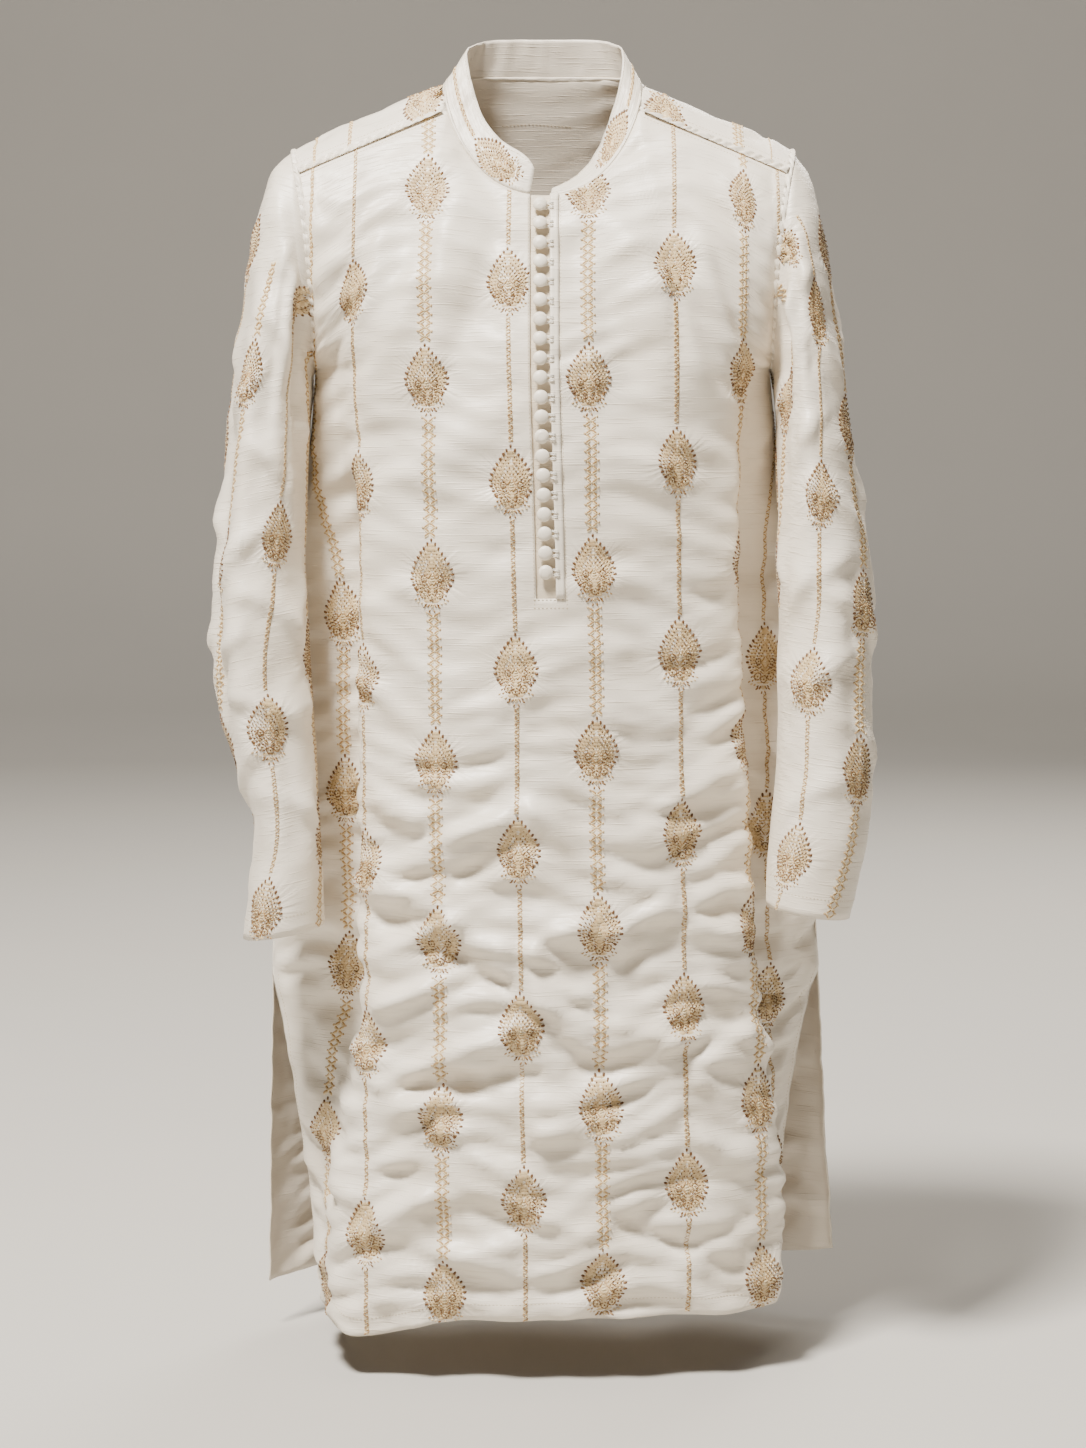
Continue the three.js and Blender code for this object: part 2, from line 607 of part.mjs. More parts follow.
function sleeveGeometry(hand) {
  const rows = [];
  for (let i = 0; i <= SLEEVE_ROWS; i += 1) rows.push(sleeveRing(hand, 1 - i / SLEEVE_ROWS));
  const normals = gridNormals(rows, true, handSign(hand));
  const seam = rows.length - 1;
  sleeveAngles().forEach((angle, j) => {
    normals[seam][j] = vector(0, -Math.sin(angle), -Math.cos(angle));
  });
  const inner = moved(rows, normals, -CLOTH);
  return hand === 'left' ? wall(flipped(rows), flipped(inner), true) : wall(rows, inner, true);
}

// Where a button and its loop sit: level with the front's outer face, +Z pointing out of the cloth
function buttonSeat(index) {
  const level = -(BUTTON.top + BUTTON.pitch * index);
  const row = front.rows.findIndex((points) => points[OPENING_COLUMN].z > level) - 1;
  const [low, high] = [front.rows[row], front.rows[row + 1]];
  const [a, b] = [low[OPENING_COLUMN], low[OPENING_COLUMN + 1]];
  const [c, d] = [high[OPENING_COLUMN], high[OPENING_COLUMN + 1]];
  const t = (level - a.z) / (c.z - a.z);
  const middle = a.clone().lerp(c, t).lerp(b.clone().lerp(d, t), 0.5);
  const up = c.clone().add(d).sub(a).sub(b).normalize();
  const across = b.clone().sub(a).normalize();
  const out = across.clone().cross(up).normalize();
  return new THREE.Matrix4().makeBasis(across, out.clone().cross(across), out).setPosition(middle);
}

// A ball on a short stem, turned on its own axis, its foot just clear of the strip behind
function buttonGeometry() {
  const { radius, height, stem } = BUTTON;
  const ball = [[0.8, 0.3], [1, 0.56], [0.85, 0.83], [0.5, 0.96], [0, 1]];
  const points = [
    new THREE.Vector2(0, 0), new THREE.Vector2(stem, 0), new THREE.Vector2(stem, 0.23 * height),
    ...ball.map(([r, h]) => new THREE.Vector2(r * radius, h * height)),
  ];
  return new THREE.LatheGeometry(points, 10).rotateX(Math.PI / 2).translate(0, 0, -CLOTH);
}

// A loop: out from the bound edge, round the button's stem and back
function loopGeometry() {
  const reach = BUTTON.stem + LOOP.clear + LOOP.strand;
  const ends = OPENING_HALF - 2 * LOOP.clear;
  const points = [vector(ends, LOOP.ends, LOOP.level)];
  const turns = 6;
  for (let i = 0; i <= turns; i += 1) {
    const angle = Math.PI + mix(-1, 1, i / turns) * LOOP.halfTurn;
    points.push(vector(reach * Math.cos(angle), reach * Math.sin(angle), LOOP.level));
  }
  points.push(vector(ends, -LOOP.ends, LOOP.level));
  const path = new THREE.CatmullRomCurve3(points, false, 'centripetal');
  const strand = new THREE.Shape();
  const sides = 5;
  for (let i = 0; i < sides; i += 1) {
    const angle = 2 * Math.PI * i / sides;
    const [x, y] = [LOOP.strand * Math.cos(angle), LOOP.strand * Math.sin(angle)];
    if (i === 0) strand.moveTo(x, y);
    else strand.lineTo(x, y);
  }
  strand.closePath();
  return new THREE.ExtrudeGeometry(strand, { steps: 12, extrudePath: path, bevelEnabled: false });
}

function piece(name, geometry, colour) {
  const material = new THREE.MeshStandardMaterial({ color: colour, roughness: 0.7, metalness: 0 });
  const mesh = new THREE.Mesh(geometry, material);
  mesh.name = name;
  return mesh;
}

const kurta = new THREE.Group();
const stripRow = OPENING_ROW - 1;
kurta.add(
  piece('front', frontPanel(), COLOURS.cloth),
  piece('back', backPanel(), COLOURS.cloth),
  piece('sleeve_left', sleeveGeometry('left'), COLOURS.cloth),
  piece('sleeve_right', sleeveGeometry('right'), COLOURS.cloth),
  piece('collar', collarGeometry(), COLOURS.cloth),
  piece('placket_strip',
    frontStrip(STRIP_COLUMN, BINDING_COLUMN, stripRow, -2 * CLOTH - SEAM_GAP, CLOTH), COLOURS.cloth),
  piece('placket_binding',
    frontStrip(OPENING_COLUMN + 1, BINDING_COLUMN, stripRow, SEAM_GAP, CLOTH), COLOURS.cloth),
);

for (let i = 0; i < BUTTON.count; i += 1) {
  const number = String(i + 1).padStart(2, '0');
  const button = piece(`button_${number}`, buttonGeometry(), COLOURS.button);
  const loop = piece(`loop_${number}`, loopGeometry(), COLOURS.loop);
  for (const mesh of [button, loop]) {
    mesh.applyMatrix4(buttonSeat(i));
    kurta.add(mesh);
  }
}

export default kurta;
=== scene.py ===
"""An embroidered silk kurta, filled out as if worn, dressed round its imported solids."""
import math

import bpy
import numpy as np
from bpy.props import FloatProperty, FloatVectorProperty, IntProperty, PointerProperty
from mathutils import Matrix, Vector, noise
from mathutils.bvhtree import BVHTree


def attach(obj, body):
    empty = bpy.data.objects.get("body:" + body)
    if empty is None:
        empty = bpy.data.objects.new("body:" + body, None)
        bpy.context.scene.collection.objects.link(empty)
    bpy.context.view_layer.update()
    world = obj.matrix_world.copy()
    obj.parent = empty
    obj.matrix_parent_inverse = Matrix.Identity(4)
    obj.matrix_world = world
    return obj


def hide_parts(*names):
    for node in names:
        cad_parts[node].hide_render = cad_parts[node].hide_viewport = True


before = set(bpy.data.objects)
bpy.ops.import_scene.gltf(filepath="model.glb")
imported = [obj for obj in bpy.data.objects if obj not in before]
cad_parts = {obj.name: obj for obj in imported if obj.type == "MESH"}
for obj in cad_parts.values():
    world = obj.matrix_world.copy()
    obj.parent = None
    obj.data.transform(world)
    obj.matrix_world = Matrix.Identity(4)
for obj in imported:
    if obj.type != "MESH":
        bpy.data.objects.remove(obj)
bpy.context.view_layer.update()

bl_info = {
    "name": "Embroidered kurta",
    "version": (1, 0, 0),
    "blender": (4, 5, 0),
    "location": "3D View > Sidebar > Kurta",
    "description": "Dresses the packed kurta in slubbed silk, embroidery, buttons and loops",
    "category": "Object",
}

# Lengths in this file are millimetres, as in the part's source, and become metres in a mesh
MM = 0.001

# Driving sizes, the same as in the part's source
LENGTH = 1074
ARMPIT = 248
SLIT_TOP = 789
COLLAR_HEIGHT = 36
COLLAR_SEAT = 0.8
PLACKET_END = 444
OPENING_HALF = 8.5
STRIP_REACH = 19
BINDING_WIDTH = 7.5
FOLD_DEPTH = 34
FOLD_HIDES = 9
SEAM_GAP = 0.3
BUTTON_TOP = 111
BUTTON_PITCH = 16.4
BUTTON_COUNT = 20
NODE_CLOTH = 1.5
BUTTON_STEM = 2.2
LOOP_LEVEL = -0.6

# Trim in the scene alone; a button's ball and stem are shares of its height
TRIM_THICKNESS = 1.2
STRIP_BELOW = 18
BINDING_BELOW = 4
BALL_SHARE = 0.39
STEM_SHARE = 0.28

# Relief of the cloth in millimetres; pairs are for the chest and for the skirt
PANEL_SOFT = (4.6, 11.5)
PANEL_SMALL = (0.8, 2.2)
PANEL_CREASES = (1.7, 2.9)
SKIRT_STARTS = (380, 720)
SLEEVE_CREASING = 1.9
SLEEVE_SOFT = 2.6
SLEEVE_SMALL = 0.9

# The stage, in metres
FLOOR_LEVEL = -1130 * MM
LIGHT_COLOUR = (1, 0.955, 0.89)
WORLD_COLOUR = (1, 0.93, 0.86, 1)
WORLD_STRENGTH = 0.075
CAMERA_LENS = 75.6
CAMERA_SENSOR = 36
CAMERA_PLACE = (0, -2.7, -0.319)
CAMERA_DIP = 5.15

# Grid cells: how many the solids have, and how many finer ones the cloth has for each of them
LOWER_ROWS = 22
FRONT_UPPER_ROWS = 8
BACK_UPPER_ROWS = 11
SLEEVE_ROWS = 20
FRONT_CELLS = (1, 2, 3, 3, 3, 3, 2)
FINE_ROWS = 8
FINE_UPPER = 6
FINE_FRONT = 4
FINE_BACK = 6
FINE_SLEEVE = 7

HANDS = {"left": -1, "right": 1}


def table(names, *rows):
    """A table by column; its first column rises from row to row."""
    return dict(zip(names.split(), np.array(rows, float).T))


SIDE_SEAM = {
    "left": table("down x y", (248, 200, 2), (300, 205, 4), (357, 211, 8), (420, 218, 12),
                  (500, 226, 15), (610, 236, 18), (710, 243, 24), (789, 246, 32)),
    "right": table("down x y", (248, 200, 2), (300, 205, 4), (357, 210, 8), (420, 217, 12),
                   (500, 225, 15), (610, 236, 18), (710, 245, 24), (789, 250, 32)),
}
FRONT_EDGE = {
    "left": table("down x y", (789, 246, 32), (835, 236, 28), (890, 226, 24), (950, 217, 21),
                  (1005, 209, 19), (1074, 203, 18)),
    "right": table("down x y", (789, 250, 32), (830, 238, 28), (890, 227, 24), (940, 220, 21),
                   (985, 216, 19), (1074, 211, 18)),
}
BACK_EDGE = {
    "left": table("down x y", (789, 246, 32), (835, 247, 42), (894, 250, 49), (1002, 252, 54),
                  (1074, 254, 60)),
    "right": table("down x y", (789, 250, 32), (830, 254, 51), (918, 260, 69), (997, 266, 84),
                   (1074, 272, 98)),
}
FOLD_LINE = {
    "left": table("down x y tuck", (248, 150, -78, 0), (300, 152, -76, 0.15), (357, 156, -72, 0.6),
                  (420, 158, -68, 1), (535, 159, -66, 1), (667, 160, -66, 1), (800, 162, -68, 0.95),
                  (889, 172, -72, 0.5), (978, 181, -76, 0.25), (1074, 186, -80, 0.2)),
    "right": table("down x y tuck", (248, 158, -74, 0), (300, 164, -70, 0.35), (357, 167, -68, 0.8),
                   (420, 168, -66, 1), (535, 173, -64, 1), (667, 181, -63, 1), (800, 189, -63, 1),
                   (889, 203, -62, 0.9), (978, 212, -60, 0.7), (1074, 205, -66, 0.3)),
}
MIDDLE = table("down front back lean", (100, -80, 100, -5), (248, -112, 125, -2.5),
               (430, -116, 120, 2.4), (610, -118, 117, 5), (800, -119, 119, 8),
               (1074, -118, 122, 12))
HEM_DIP = table("x dip", (-260, 12), (-200, 8), (-160, 18), (-90, 2), (0, -2), (100, -4),
                (180, -2), (280, -10))
SHOULDER_TOP = table("x down", (0, -14), (50, -9), (87, 0), (116, 11), (156, 26), (195, 42),
                     (222, 60))
SHOULDER_TOP_Y = 4
CHEST_ROUNDNESS = 1.3
SHOULDER_ROUNDNESS = 1.9
OVER_SHOULDER_DEPTH = 100
BACK_FOLDS = table("across depth", (0, 0), (0.13, -7), (0.26, 9), (0.38, -8), (0.5, 8), (0.61, -6),
                   (0.73, 10), (0.87, -9), (1, 0))
BACK_FOLD_START = 330
NECK_HALF = ((0, -66, 101), (20, -65, 99), (46, -56, 86), (68, -41, 61), (84, -20, 24),
             (87, 2, 0), (80, 24, -5), (60, 43, -8), (32, 52, -9), (0, 54, -9))
NECK_POINT_ROW = 4
NECK_TILT = (25, 50)
COLLAR_RISE = table("around x y z", (0, 6, 8, 34), (0.12, 14, 11, 31), (0.22, 21, 12, 26),
                    (0.32, 18, 3, 30), (0.42, 6, -8, 34), (0.5, 0, -9, 34), (0.58, -6, -8, 34),
                    (0.68, -17, 3, 31), (0.78, -15, 14, 28), (0.88, -9, 26, 20), (0.95, -3, 33, 12),
                    (1, 3, 33, 11))
ARMHOLE = {"y": 2, "down": 153, "half_depth": 67, "half_height": 95, "x": 200, "lean": 18,
           "hollow": 3}
ARMHOLE_REACH = 0.45
TOP_SPREAD = 1.3
SHOULDER_SEAM_ANGLE = math.radians(141)
SLEEVE_NAMES = "ring out_x out_y out_down in_x in_y in_down front back"
SLEEVE = {
    "left": table(SLEEVE_NAMES,
                  (0, 218, 2, 58, 200, 2, 248, -65, 69), (0.06, 236, 3, 74, 203, 0, 257, -71, 68),
                  (0.14, 249, 0, 112, 203, -6, 270, -76, 64),
                  (0.24, 259, -8, 168, 205, -16, 294, -80, 57),
                  (0.34, 267, -16, 228, 206, -26, 330, -86, 46),
                  (0.44, 275, -24, 292, 207, -34, 372, -93, 34),
                  (0.54, 282, -32, 362, 208, -42, 418, -99, 22),
                  (0.63, 288, -41, 428, 205, -49, 465, -105, 11),
                  (0.71, 288, -49, 492, 203, -55, 511, -110, 3),
                  (0.79, 281, -55, 550, 200, -59, 556, -114, -2),
                  (0.85, 264, -59, 600, 197, -62, 602, -117, -7),
                  (0.91, 252, -63, 650, 195, -66, 648, -119, -14),
                  (0.96, 257, -67, 700, 192, -70, 690, -121, -24),
                  (1, 261, -71, 742, 190, -74, 729, -122, -34)),
    "right": table(SLEEVE_NAMES,
                   (0, 218, 2, 58, 200, 2, 248, -65, 69), (0.06, 234, 3, 84, 203, 0, 256, -71, 68),
                   (0.14, 245, 0, 130, 203, -6, 268, -76, 64),
                   (0.24, 254, -8, 186, 205, -16, 292, -80, 57),
                   (0.34, 262, -16, 240, 205, -26, 328, -86, 46),
                   (0.44, 269, -24, 300, 206, -34, 370, -93, 34),
                   (0.54, 278, -32, 366, 204, -42, 416, -99, 22),
                   (0.63, 288, -41, 430, 206, -49, 463, -105, 11),
                   (0.71, 287, -49, 490, 204, -55, 509, -110, 3),
                   (0.79, 288, -55, 548, 205, -59, 554, -114, -2),
                   (0.85, 288, -59, 596, 203, -62, 598, -117, -7),
                   (0.91, 284, -63, 642, 199, -66, 640, -119, -14),
                   (0.96, 277, -67, 688, 195, -70, 680, -121, -24),
                   (1, 267, -71, 724, 194, -74, 713, -122, -34)),
}
SLEEVE_FOLDS = {
    "left": ((112, 0.1, 0.82, 7, 16), (146, 0.3, 0.86, -8, 15), (66, 0.62, 0.98, -5, 18),
             (205, 0.5, 0.95, -5, 22), (300, 0.2, 0.9, -6, 24)),
    "right": ((72, 0.05, 0.6, 6, 18), (118, 0.55, 0.9, -6, 16), (60, 0.6, 0.78, -7, 15),
              (200, 0.45, 0.95, -5, 22), (295, 0.25, 0.92, -6, 24)),
}
FOLD_FADE = 0.15


def at(rows, level, column):
    """One column of a table at some levels, joined smoothly from row to row."""
    x = rows[next(iter(rows))]
    y = rows[column]
    level = np.clip(level, x[0], x[-1])
    i = np.clip(np.searchsorted(x, level) - 1, 0, len(x) - 2)
    before = np.maximum(i - 1, 0)
    after = np.minimum(i + 2, len(x) - 1)
    step = x[i + 1] - x[i]
    t = (level - x[i]) / step
    slope_a = step * (y[i + 1] - y[before]) / (x[i + 1] - x[before])
    slope_b = step * (y[after] - y[i]) / (x[after] - x[i])
    t2 = t * t
    t3 = t2 * t
    return (y[i] * (2 * t3 - 3 * t2 + 1) + slope_a * (t3 - 2 * t2 + t)
            + y[i + 1] * (3 * t2 - 2 * t3) + slope_b * (t3 - t2))


def mix(a, b, t):
    return a + (b - a) * t


def smooth(x, low, high):
    t = np.clip((np.asarray(x, float) - low) / (high - low), 0, 1)
    return t * t * (3 - 2 * t)


def unit(vectors):
    return vectors / np.maximum(np.linalg.norm(vectors, axis=-1, keepdims=True), 1e-9)


def curve_points(points, segment, share):
    """Points on centripetal curves through rows of points, at a share of the way along a segment."""
    p0, p1, p2, p3 = (points[:, segment + k] for k in (-1, 0, 1, 2))
    d0, d1, d2 = (np.sqrt(np.linalg.norm(b - a, axis=-1))[..., None]
                  for a, b in ((p0, p1), (p1, p2), (p2, p3)))
    t1 = ((p1 - p0) / d0 - (p2 - p0) / (d0 + d1) + (p2 - p1) / d1) * d1
    t2 = ((p2 - p1) / d1 - (p3 - p1) / (d1 + d2) + (p3 - p2) / d2) * d1
    s = share[:, None]
    return (p1 + t1 * s + (3 * (p2 - p1) - 2 * t1 - t2) * s ** 2
            + (2 * (p1 - p2) + t1 + t2) * s ** 3)


def section_points(lines, cells, fine, towards):
    """Rows of points across a panel, from its lines; the ends start straight forward or back."""
    beyond = np.array([0, towards * 60, 0])
    points = np.concatenate([lines[:, :1] + beyond, lines, lines[:, -1:] + beyond], axis=1)
    segment = np.concatenate([np.full(n * fine, k + 1) for k, n in enumerate(cells)] + [[len(cells)]])
    share = np.concatenate([np.arange(n * fine) / (n * fine) for n in cells] + [[1.0]])
    return curve_points(points, segment, share)


def side_of(edges, hand, down, column):
    seam = at(SIDE_SEAM[hand], down, column)
    return np.where(down <= SLIT_TOP, seam, at(edges[hand], down, column))


def front_half(hand, down):
    """The lines of one half of the front, from beside the opening out to the side."""
    sign = HANDS[hand]
    side_x, side_y = (side_of(FRONT_EDGE, hand, down, c) for c in "xy")
    fold_x, fold_y, tuck = (at(FOLD_LINE[hand], down, c) for c in ("x", "y", "tuck"))
    front = at(MIDDLE, down, "front")
    lean = at(MIDDLE, down, "lean")
    root_x = mix(mix(fold_x, side_x, 0.62), fold_x - FOLD_HIDES, tuck)
    root_y = mix(mix(fold_y, side_y, 0.42), fold_y + FOLD_DEPTH, tuck)
    wing_x = mix(mix(fold_x, side_x, 0.9), mix(root_x, side_x, 0.5), tuck)
    wing_y = mix(mix(fold_y, side_y, 0.72), mix(root_y, side_y, 0.38), tuck)
    strip = STRIP_REACH if sign < 0 else OPENING_HALF + BINDING_WIDTH
    lines = [
        (sign * OPENING_HALF + lean, front),
        (sign * strip + lean, front + 0.6),
        (sign * fold_x * 0.36 + 0.6 * lean, mix(front, fold_y, 0.1)),
        (sign * fold_x * 0.7, mix(front, fold_y, 0.38)),
        (sign * fold_x, fold_y),
        (sign * root_x, root_y),
        (sign * wing_x, wing_y),
        (sign * side_x, side_y),
    ]
    return np.stack([np.stack([x, y, -down], -1) for x, y in lines], 1)


def front_section(down):
    lines = np.concatenate([front_half("left", down)[:, ::-1], front_half("right", down)], 1)
    return section_points(lines, (*FRONT_CELLS[::-1], 1, *FRONT_CELLS), FINE_FRONT, 1)


def back_section(down):
    lines = []
    for across, depth in zip(BACK_FOLDS["across"], BACK_FOLDS["depth"]):
        turn = math.pi * across
        half = side_of(BACK_EDGE, "left" if across < 0.5 else "right", down, "x")
        ends = [side_of(BACK_EDGE, hand, down, "y") for hand in HANDS]
        bow = math.sin(turn) ** 0.75
        x = -half * np.sign(math.cos(turn)) * abs(math.cos(turn)) ** 0.9
        y = mix(mix(*ends, across), at(MIDDLE, down, "back"), bow)
        lines.append(np.stack([x, y + depth * smooth(down, BACK_FOLD_START, LENGTH), -down], -1))
    return section_points(np.stack(lines, 1), (3,) * (len(lines) - 1), FINE_BACK, -1)


class Neck:
    """The neck seam as one closed curve, measured by length from the middle of the front."""

    steps = 40

    def __init__(self):
        right = [(x, y, -down) for x, y, down in NECK_HALF]
        left = [(-x, y, z) for x, y, z in right[-2:0:-1]]
        self.points = np.array(right + left, float)
        count = len(self.points)
        self.places = np.arange(count * self.steps + 1) / self.steps
        run = self.curve(self.places)
        self.lengths = np.concatenate([[0], np.cumsum(np.linalg.norm(np.diff(run, axis=0), axis=1))])
        self.total = self.lengths[-1]
        self.point_at = self.lengths[self.steps * NECK_POINT_ROW]

    def curve(self, place):
        count = len(self.points)
        wrapped = np.concatenate([self.points[-1:], self.points, self.points[:2]])[None]
        segment = np.floor(place).astype(int) % count
        return curve_points(wrapped, segment + 1, place - np.floor(place))[0]

    def at(self, length):
        return self.curve(np.interp(np.mod(length, self.total), self.lengths, self.places))


NECK = Neck()


def neck_normal(points):
    """The way out of the cloth at the neck seam, halfway between the panel's and the collar's."""
    side = (points[..., 0] / NECK_HALF[NECK_POINT_ROW][0]) ** 2
    tilt = np.radians(mix(*NECK_TILT, side))[..., None]
    out = unit((points - (0, SHOULDER_TOP_Y, 0)) * (1, 1, 0))
    return out * np.cos(tilt) + np.array([0, 0, 1.0]) * np.sin(tilt)


def armhole_points(hand, angle):
    """The armhole; the angle runs from the underarm over the front to the top."""
    rise = (1 - np.cos(angle)) / 2
    x = ARMHOLE["x"] + ARMHOLE["lean"] * rise ** 2 - ARMHOLE["hollow"] * np.sin(angle) ** 2
    y = ARMHOLE["y"] - ARMHOLE["half_depth"] * np.sin(angle)
    z = -ARMHOLE["down"] - ARMHOLE["half_height"] * np.cos(angle)
    return np.stack([HANDS[hand] * x, y, z], -1)


def shoulder_seam(hand, t):
    """The straight seam on the front of the shoulder, from the neck (0) to the armhole (1)."""
    sign = HANDS[hand]
    start = NECK.at(np.array([sign * NECK.point_at]))
    end = armhole_points(hand, np.array([SHOULDER_SEAM_ANGLE]))
    t = np.asarray(t, float)[:, None]
    normal = mix(neck_normal(start), np.array([sign * 0.3, -0.62, 0.72]), np.sqrt(t))
    return mix(start, end, t), unit(normal)


SEAM_LENGTH = float(np.linalg.norm(np.diff(shoulder_seam("left", [0, 1])[0], axis=0)))


def roundness(x):
    return mix(CHEST_ROUNDNESS, SHOULDER_ROUNDNESS, smooth(np.abs(x), 0, 150))


def top_line(panel, lengths):
    """A panel's top line: points, normals, and the turn at which the upper body passes them."""
    sign = np.where(lengths < 0, -1, 1)
    reach = np.abs(lengths)
    neck_part = NECK.point_at if panel == "front" else NECK.total / 2 - NECK.point_at
    on_neck = reach <= neck_part + 1e-6
    along_neck = lengths if panel == "front" else sign * (NECK.total / 2 - reach)
    points = NECK.at(along_neck)
    normals = neck_normal(points)
    along_seam = np.clip((reach - neck_part) / SEAM_LENGTH, 0, 1)
    for hand, side in HANDS.items():
        chosen = ~on_neck & (sign == side)
        points[chosen], normals[chosen] = shoulder_seam(hand, along_seam[chosen])
    down = at(SHOULDER_TOP, np.abs(points[:, 0]), "down")
    climb = np.clip((ARMPIT + points[:, 2]) / (ARMPIT - down), 0, 1)
    turn = np.arcsin(climb ** (roundness(points[:, 0]) / 2))
    near = (points[:, 1] < SHOULDER_TOP_Y) == (panel == "front")
    return points, normals, on_neck, np.where(near, turn, math.pi - turn)


def top_length(panel):
    neck_part = NECK.point_at if panel == "front" else NECK.total / 2 - NECK.point_at
    return neck_part + SEAM_LENGTH


def body_points(x, turn, depth, over):
    """The upper body as rounded profiles that run from the armpit's level over the shoulder."""
    power = 2 / roundness(x)
    reach = np.abs(np.cos(turn)) ** power * np.where(turn < math.pi / 2, depth, -over)
    climb = (ARMPIT - at(SHOULDER_TOP, np.abs(x), "down")) * np.abs(np.sin(turn)) ** power
    return np.stack([x, SHOULDER_TOP_Y + reach, climb - ARMPIT], -1)


def run_lengths(points, axis):
    """Distances along rows (axis 1) or columns (axis 0) of a grid of points."""
    steps = np.linalg.norm(np.diff(points, axis=axis), axis=-1)
    pad = np.zeros_like(np.take(steps, [0], axis=axis))
    return np.concatenate([pad, np.cumsum(steps, axis=axis)], axis=axis)


def panel_face(panel):
    """One panel's outer face, row by row from the hem to its top line."""
    section = front_section if panel == "front" else back_section
    sense = -1 if panel == "front" else 1
    upper = FINE_UPPER * (FRONT_UPPER_ROWS if panel == "front" else BACK_UPPER_ROWS)
    arm_angle = SHOULDER_SEAM_ANGLE - (0 if panel == "front" else 2 * math.pi)
    lower_count = LOWER_ROWS * FINE_ROWS
    part = 1 - np.arange(lower_count) / lower_count
    lower = section(mix(ARMPIT, LENGTH, part))
    lower[..., 2] -= at(HEM_DIP, lower[..., 0], "dip") * part[:, None] ** 2
    base = section(np.array([float(ARMPIT)]))[0]
    run = run_lengths(base[None], 1)[0]
    lengths = run - run[len(run) // 2]
    across = lengths / lengths[-1]
    lean = 0.0
    if panel == "front":
        lean = at(MIDDLE, NECK_HALF[0][2], "lean") - at(MIDDLE, ARMPIT, "lean")
    spread = np.minimum(1, TOP_SPREAD * across ** 2)
    ends, normals, on_neck, turns = top_line(
        panel, mix(lengths + lean, across * top_length(panel), spread))
    t = (np.arange(upper + 1) / upper)[:, None]
    over = sense * OVER_SHOULDER_DEPTH * np.sqrt(1 - (ends[:, 0] / SHOULDER_TOP["x"][-1]) ** 2)
    depth = base[:, 1] - SHOULDER_TOP_Y

    def profile(part):
        x = mix(base[:, 0], ends[:, 0], part * part * (3 - 2 * part))
        return body_points(x, turns * part, depth, over)

    columns = profile(t) + (t * t)[..., None] * (ends - profile(np.ones((1, 1))))
    share = smooth(np.abs(across), ARMHOLE_REACH, 1)[None, :, None]
    for hand, j in (("left", 0), ("right", -1)):
        shift = armhole_points(hand, arm_angle * t[:, 0]) - columns[:, j]
        side = (across < 0) if hand == "left" else (across >= 0)
        columns = np.where(side[None, :, None], columns + share * shift[:, None], columns)
    return np.concatenate([lower, columns]), normals, on_neck


def grid_normals(points, flip, closed=False):
    if closed:
        along = np.roll(points, -1, 1) - np.roll(points, 1, 1)
    else:
        along = np.gradient(points, axis=1)
    return unit(np.cross(along, np.gradient(points, axis=0)) * flip)


def panel_chart(points, base_row):
    """Where each point lies on the flat cloth: along the weft from the middle, and down the warp."""
    middle = points.shape[1] // 2
    u = run_lengths(points, 1)
    u -= u[:, middle:middle + 1]
    down = -points[..., 2].copy()
    base_x = points[base_row, :, 0]
    offset = np.interp(points[base_row:, :, 0], base_x, u[base_row] - base_x)
    u[base_row:] = points[base_row:, :, 0] + offset
    rise = run_lengths(points[base_row:] * (0, 1, 1), 0)
    down[base_row:] = down[base_row] - rise
    return np.stack([u, down], -1)


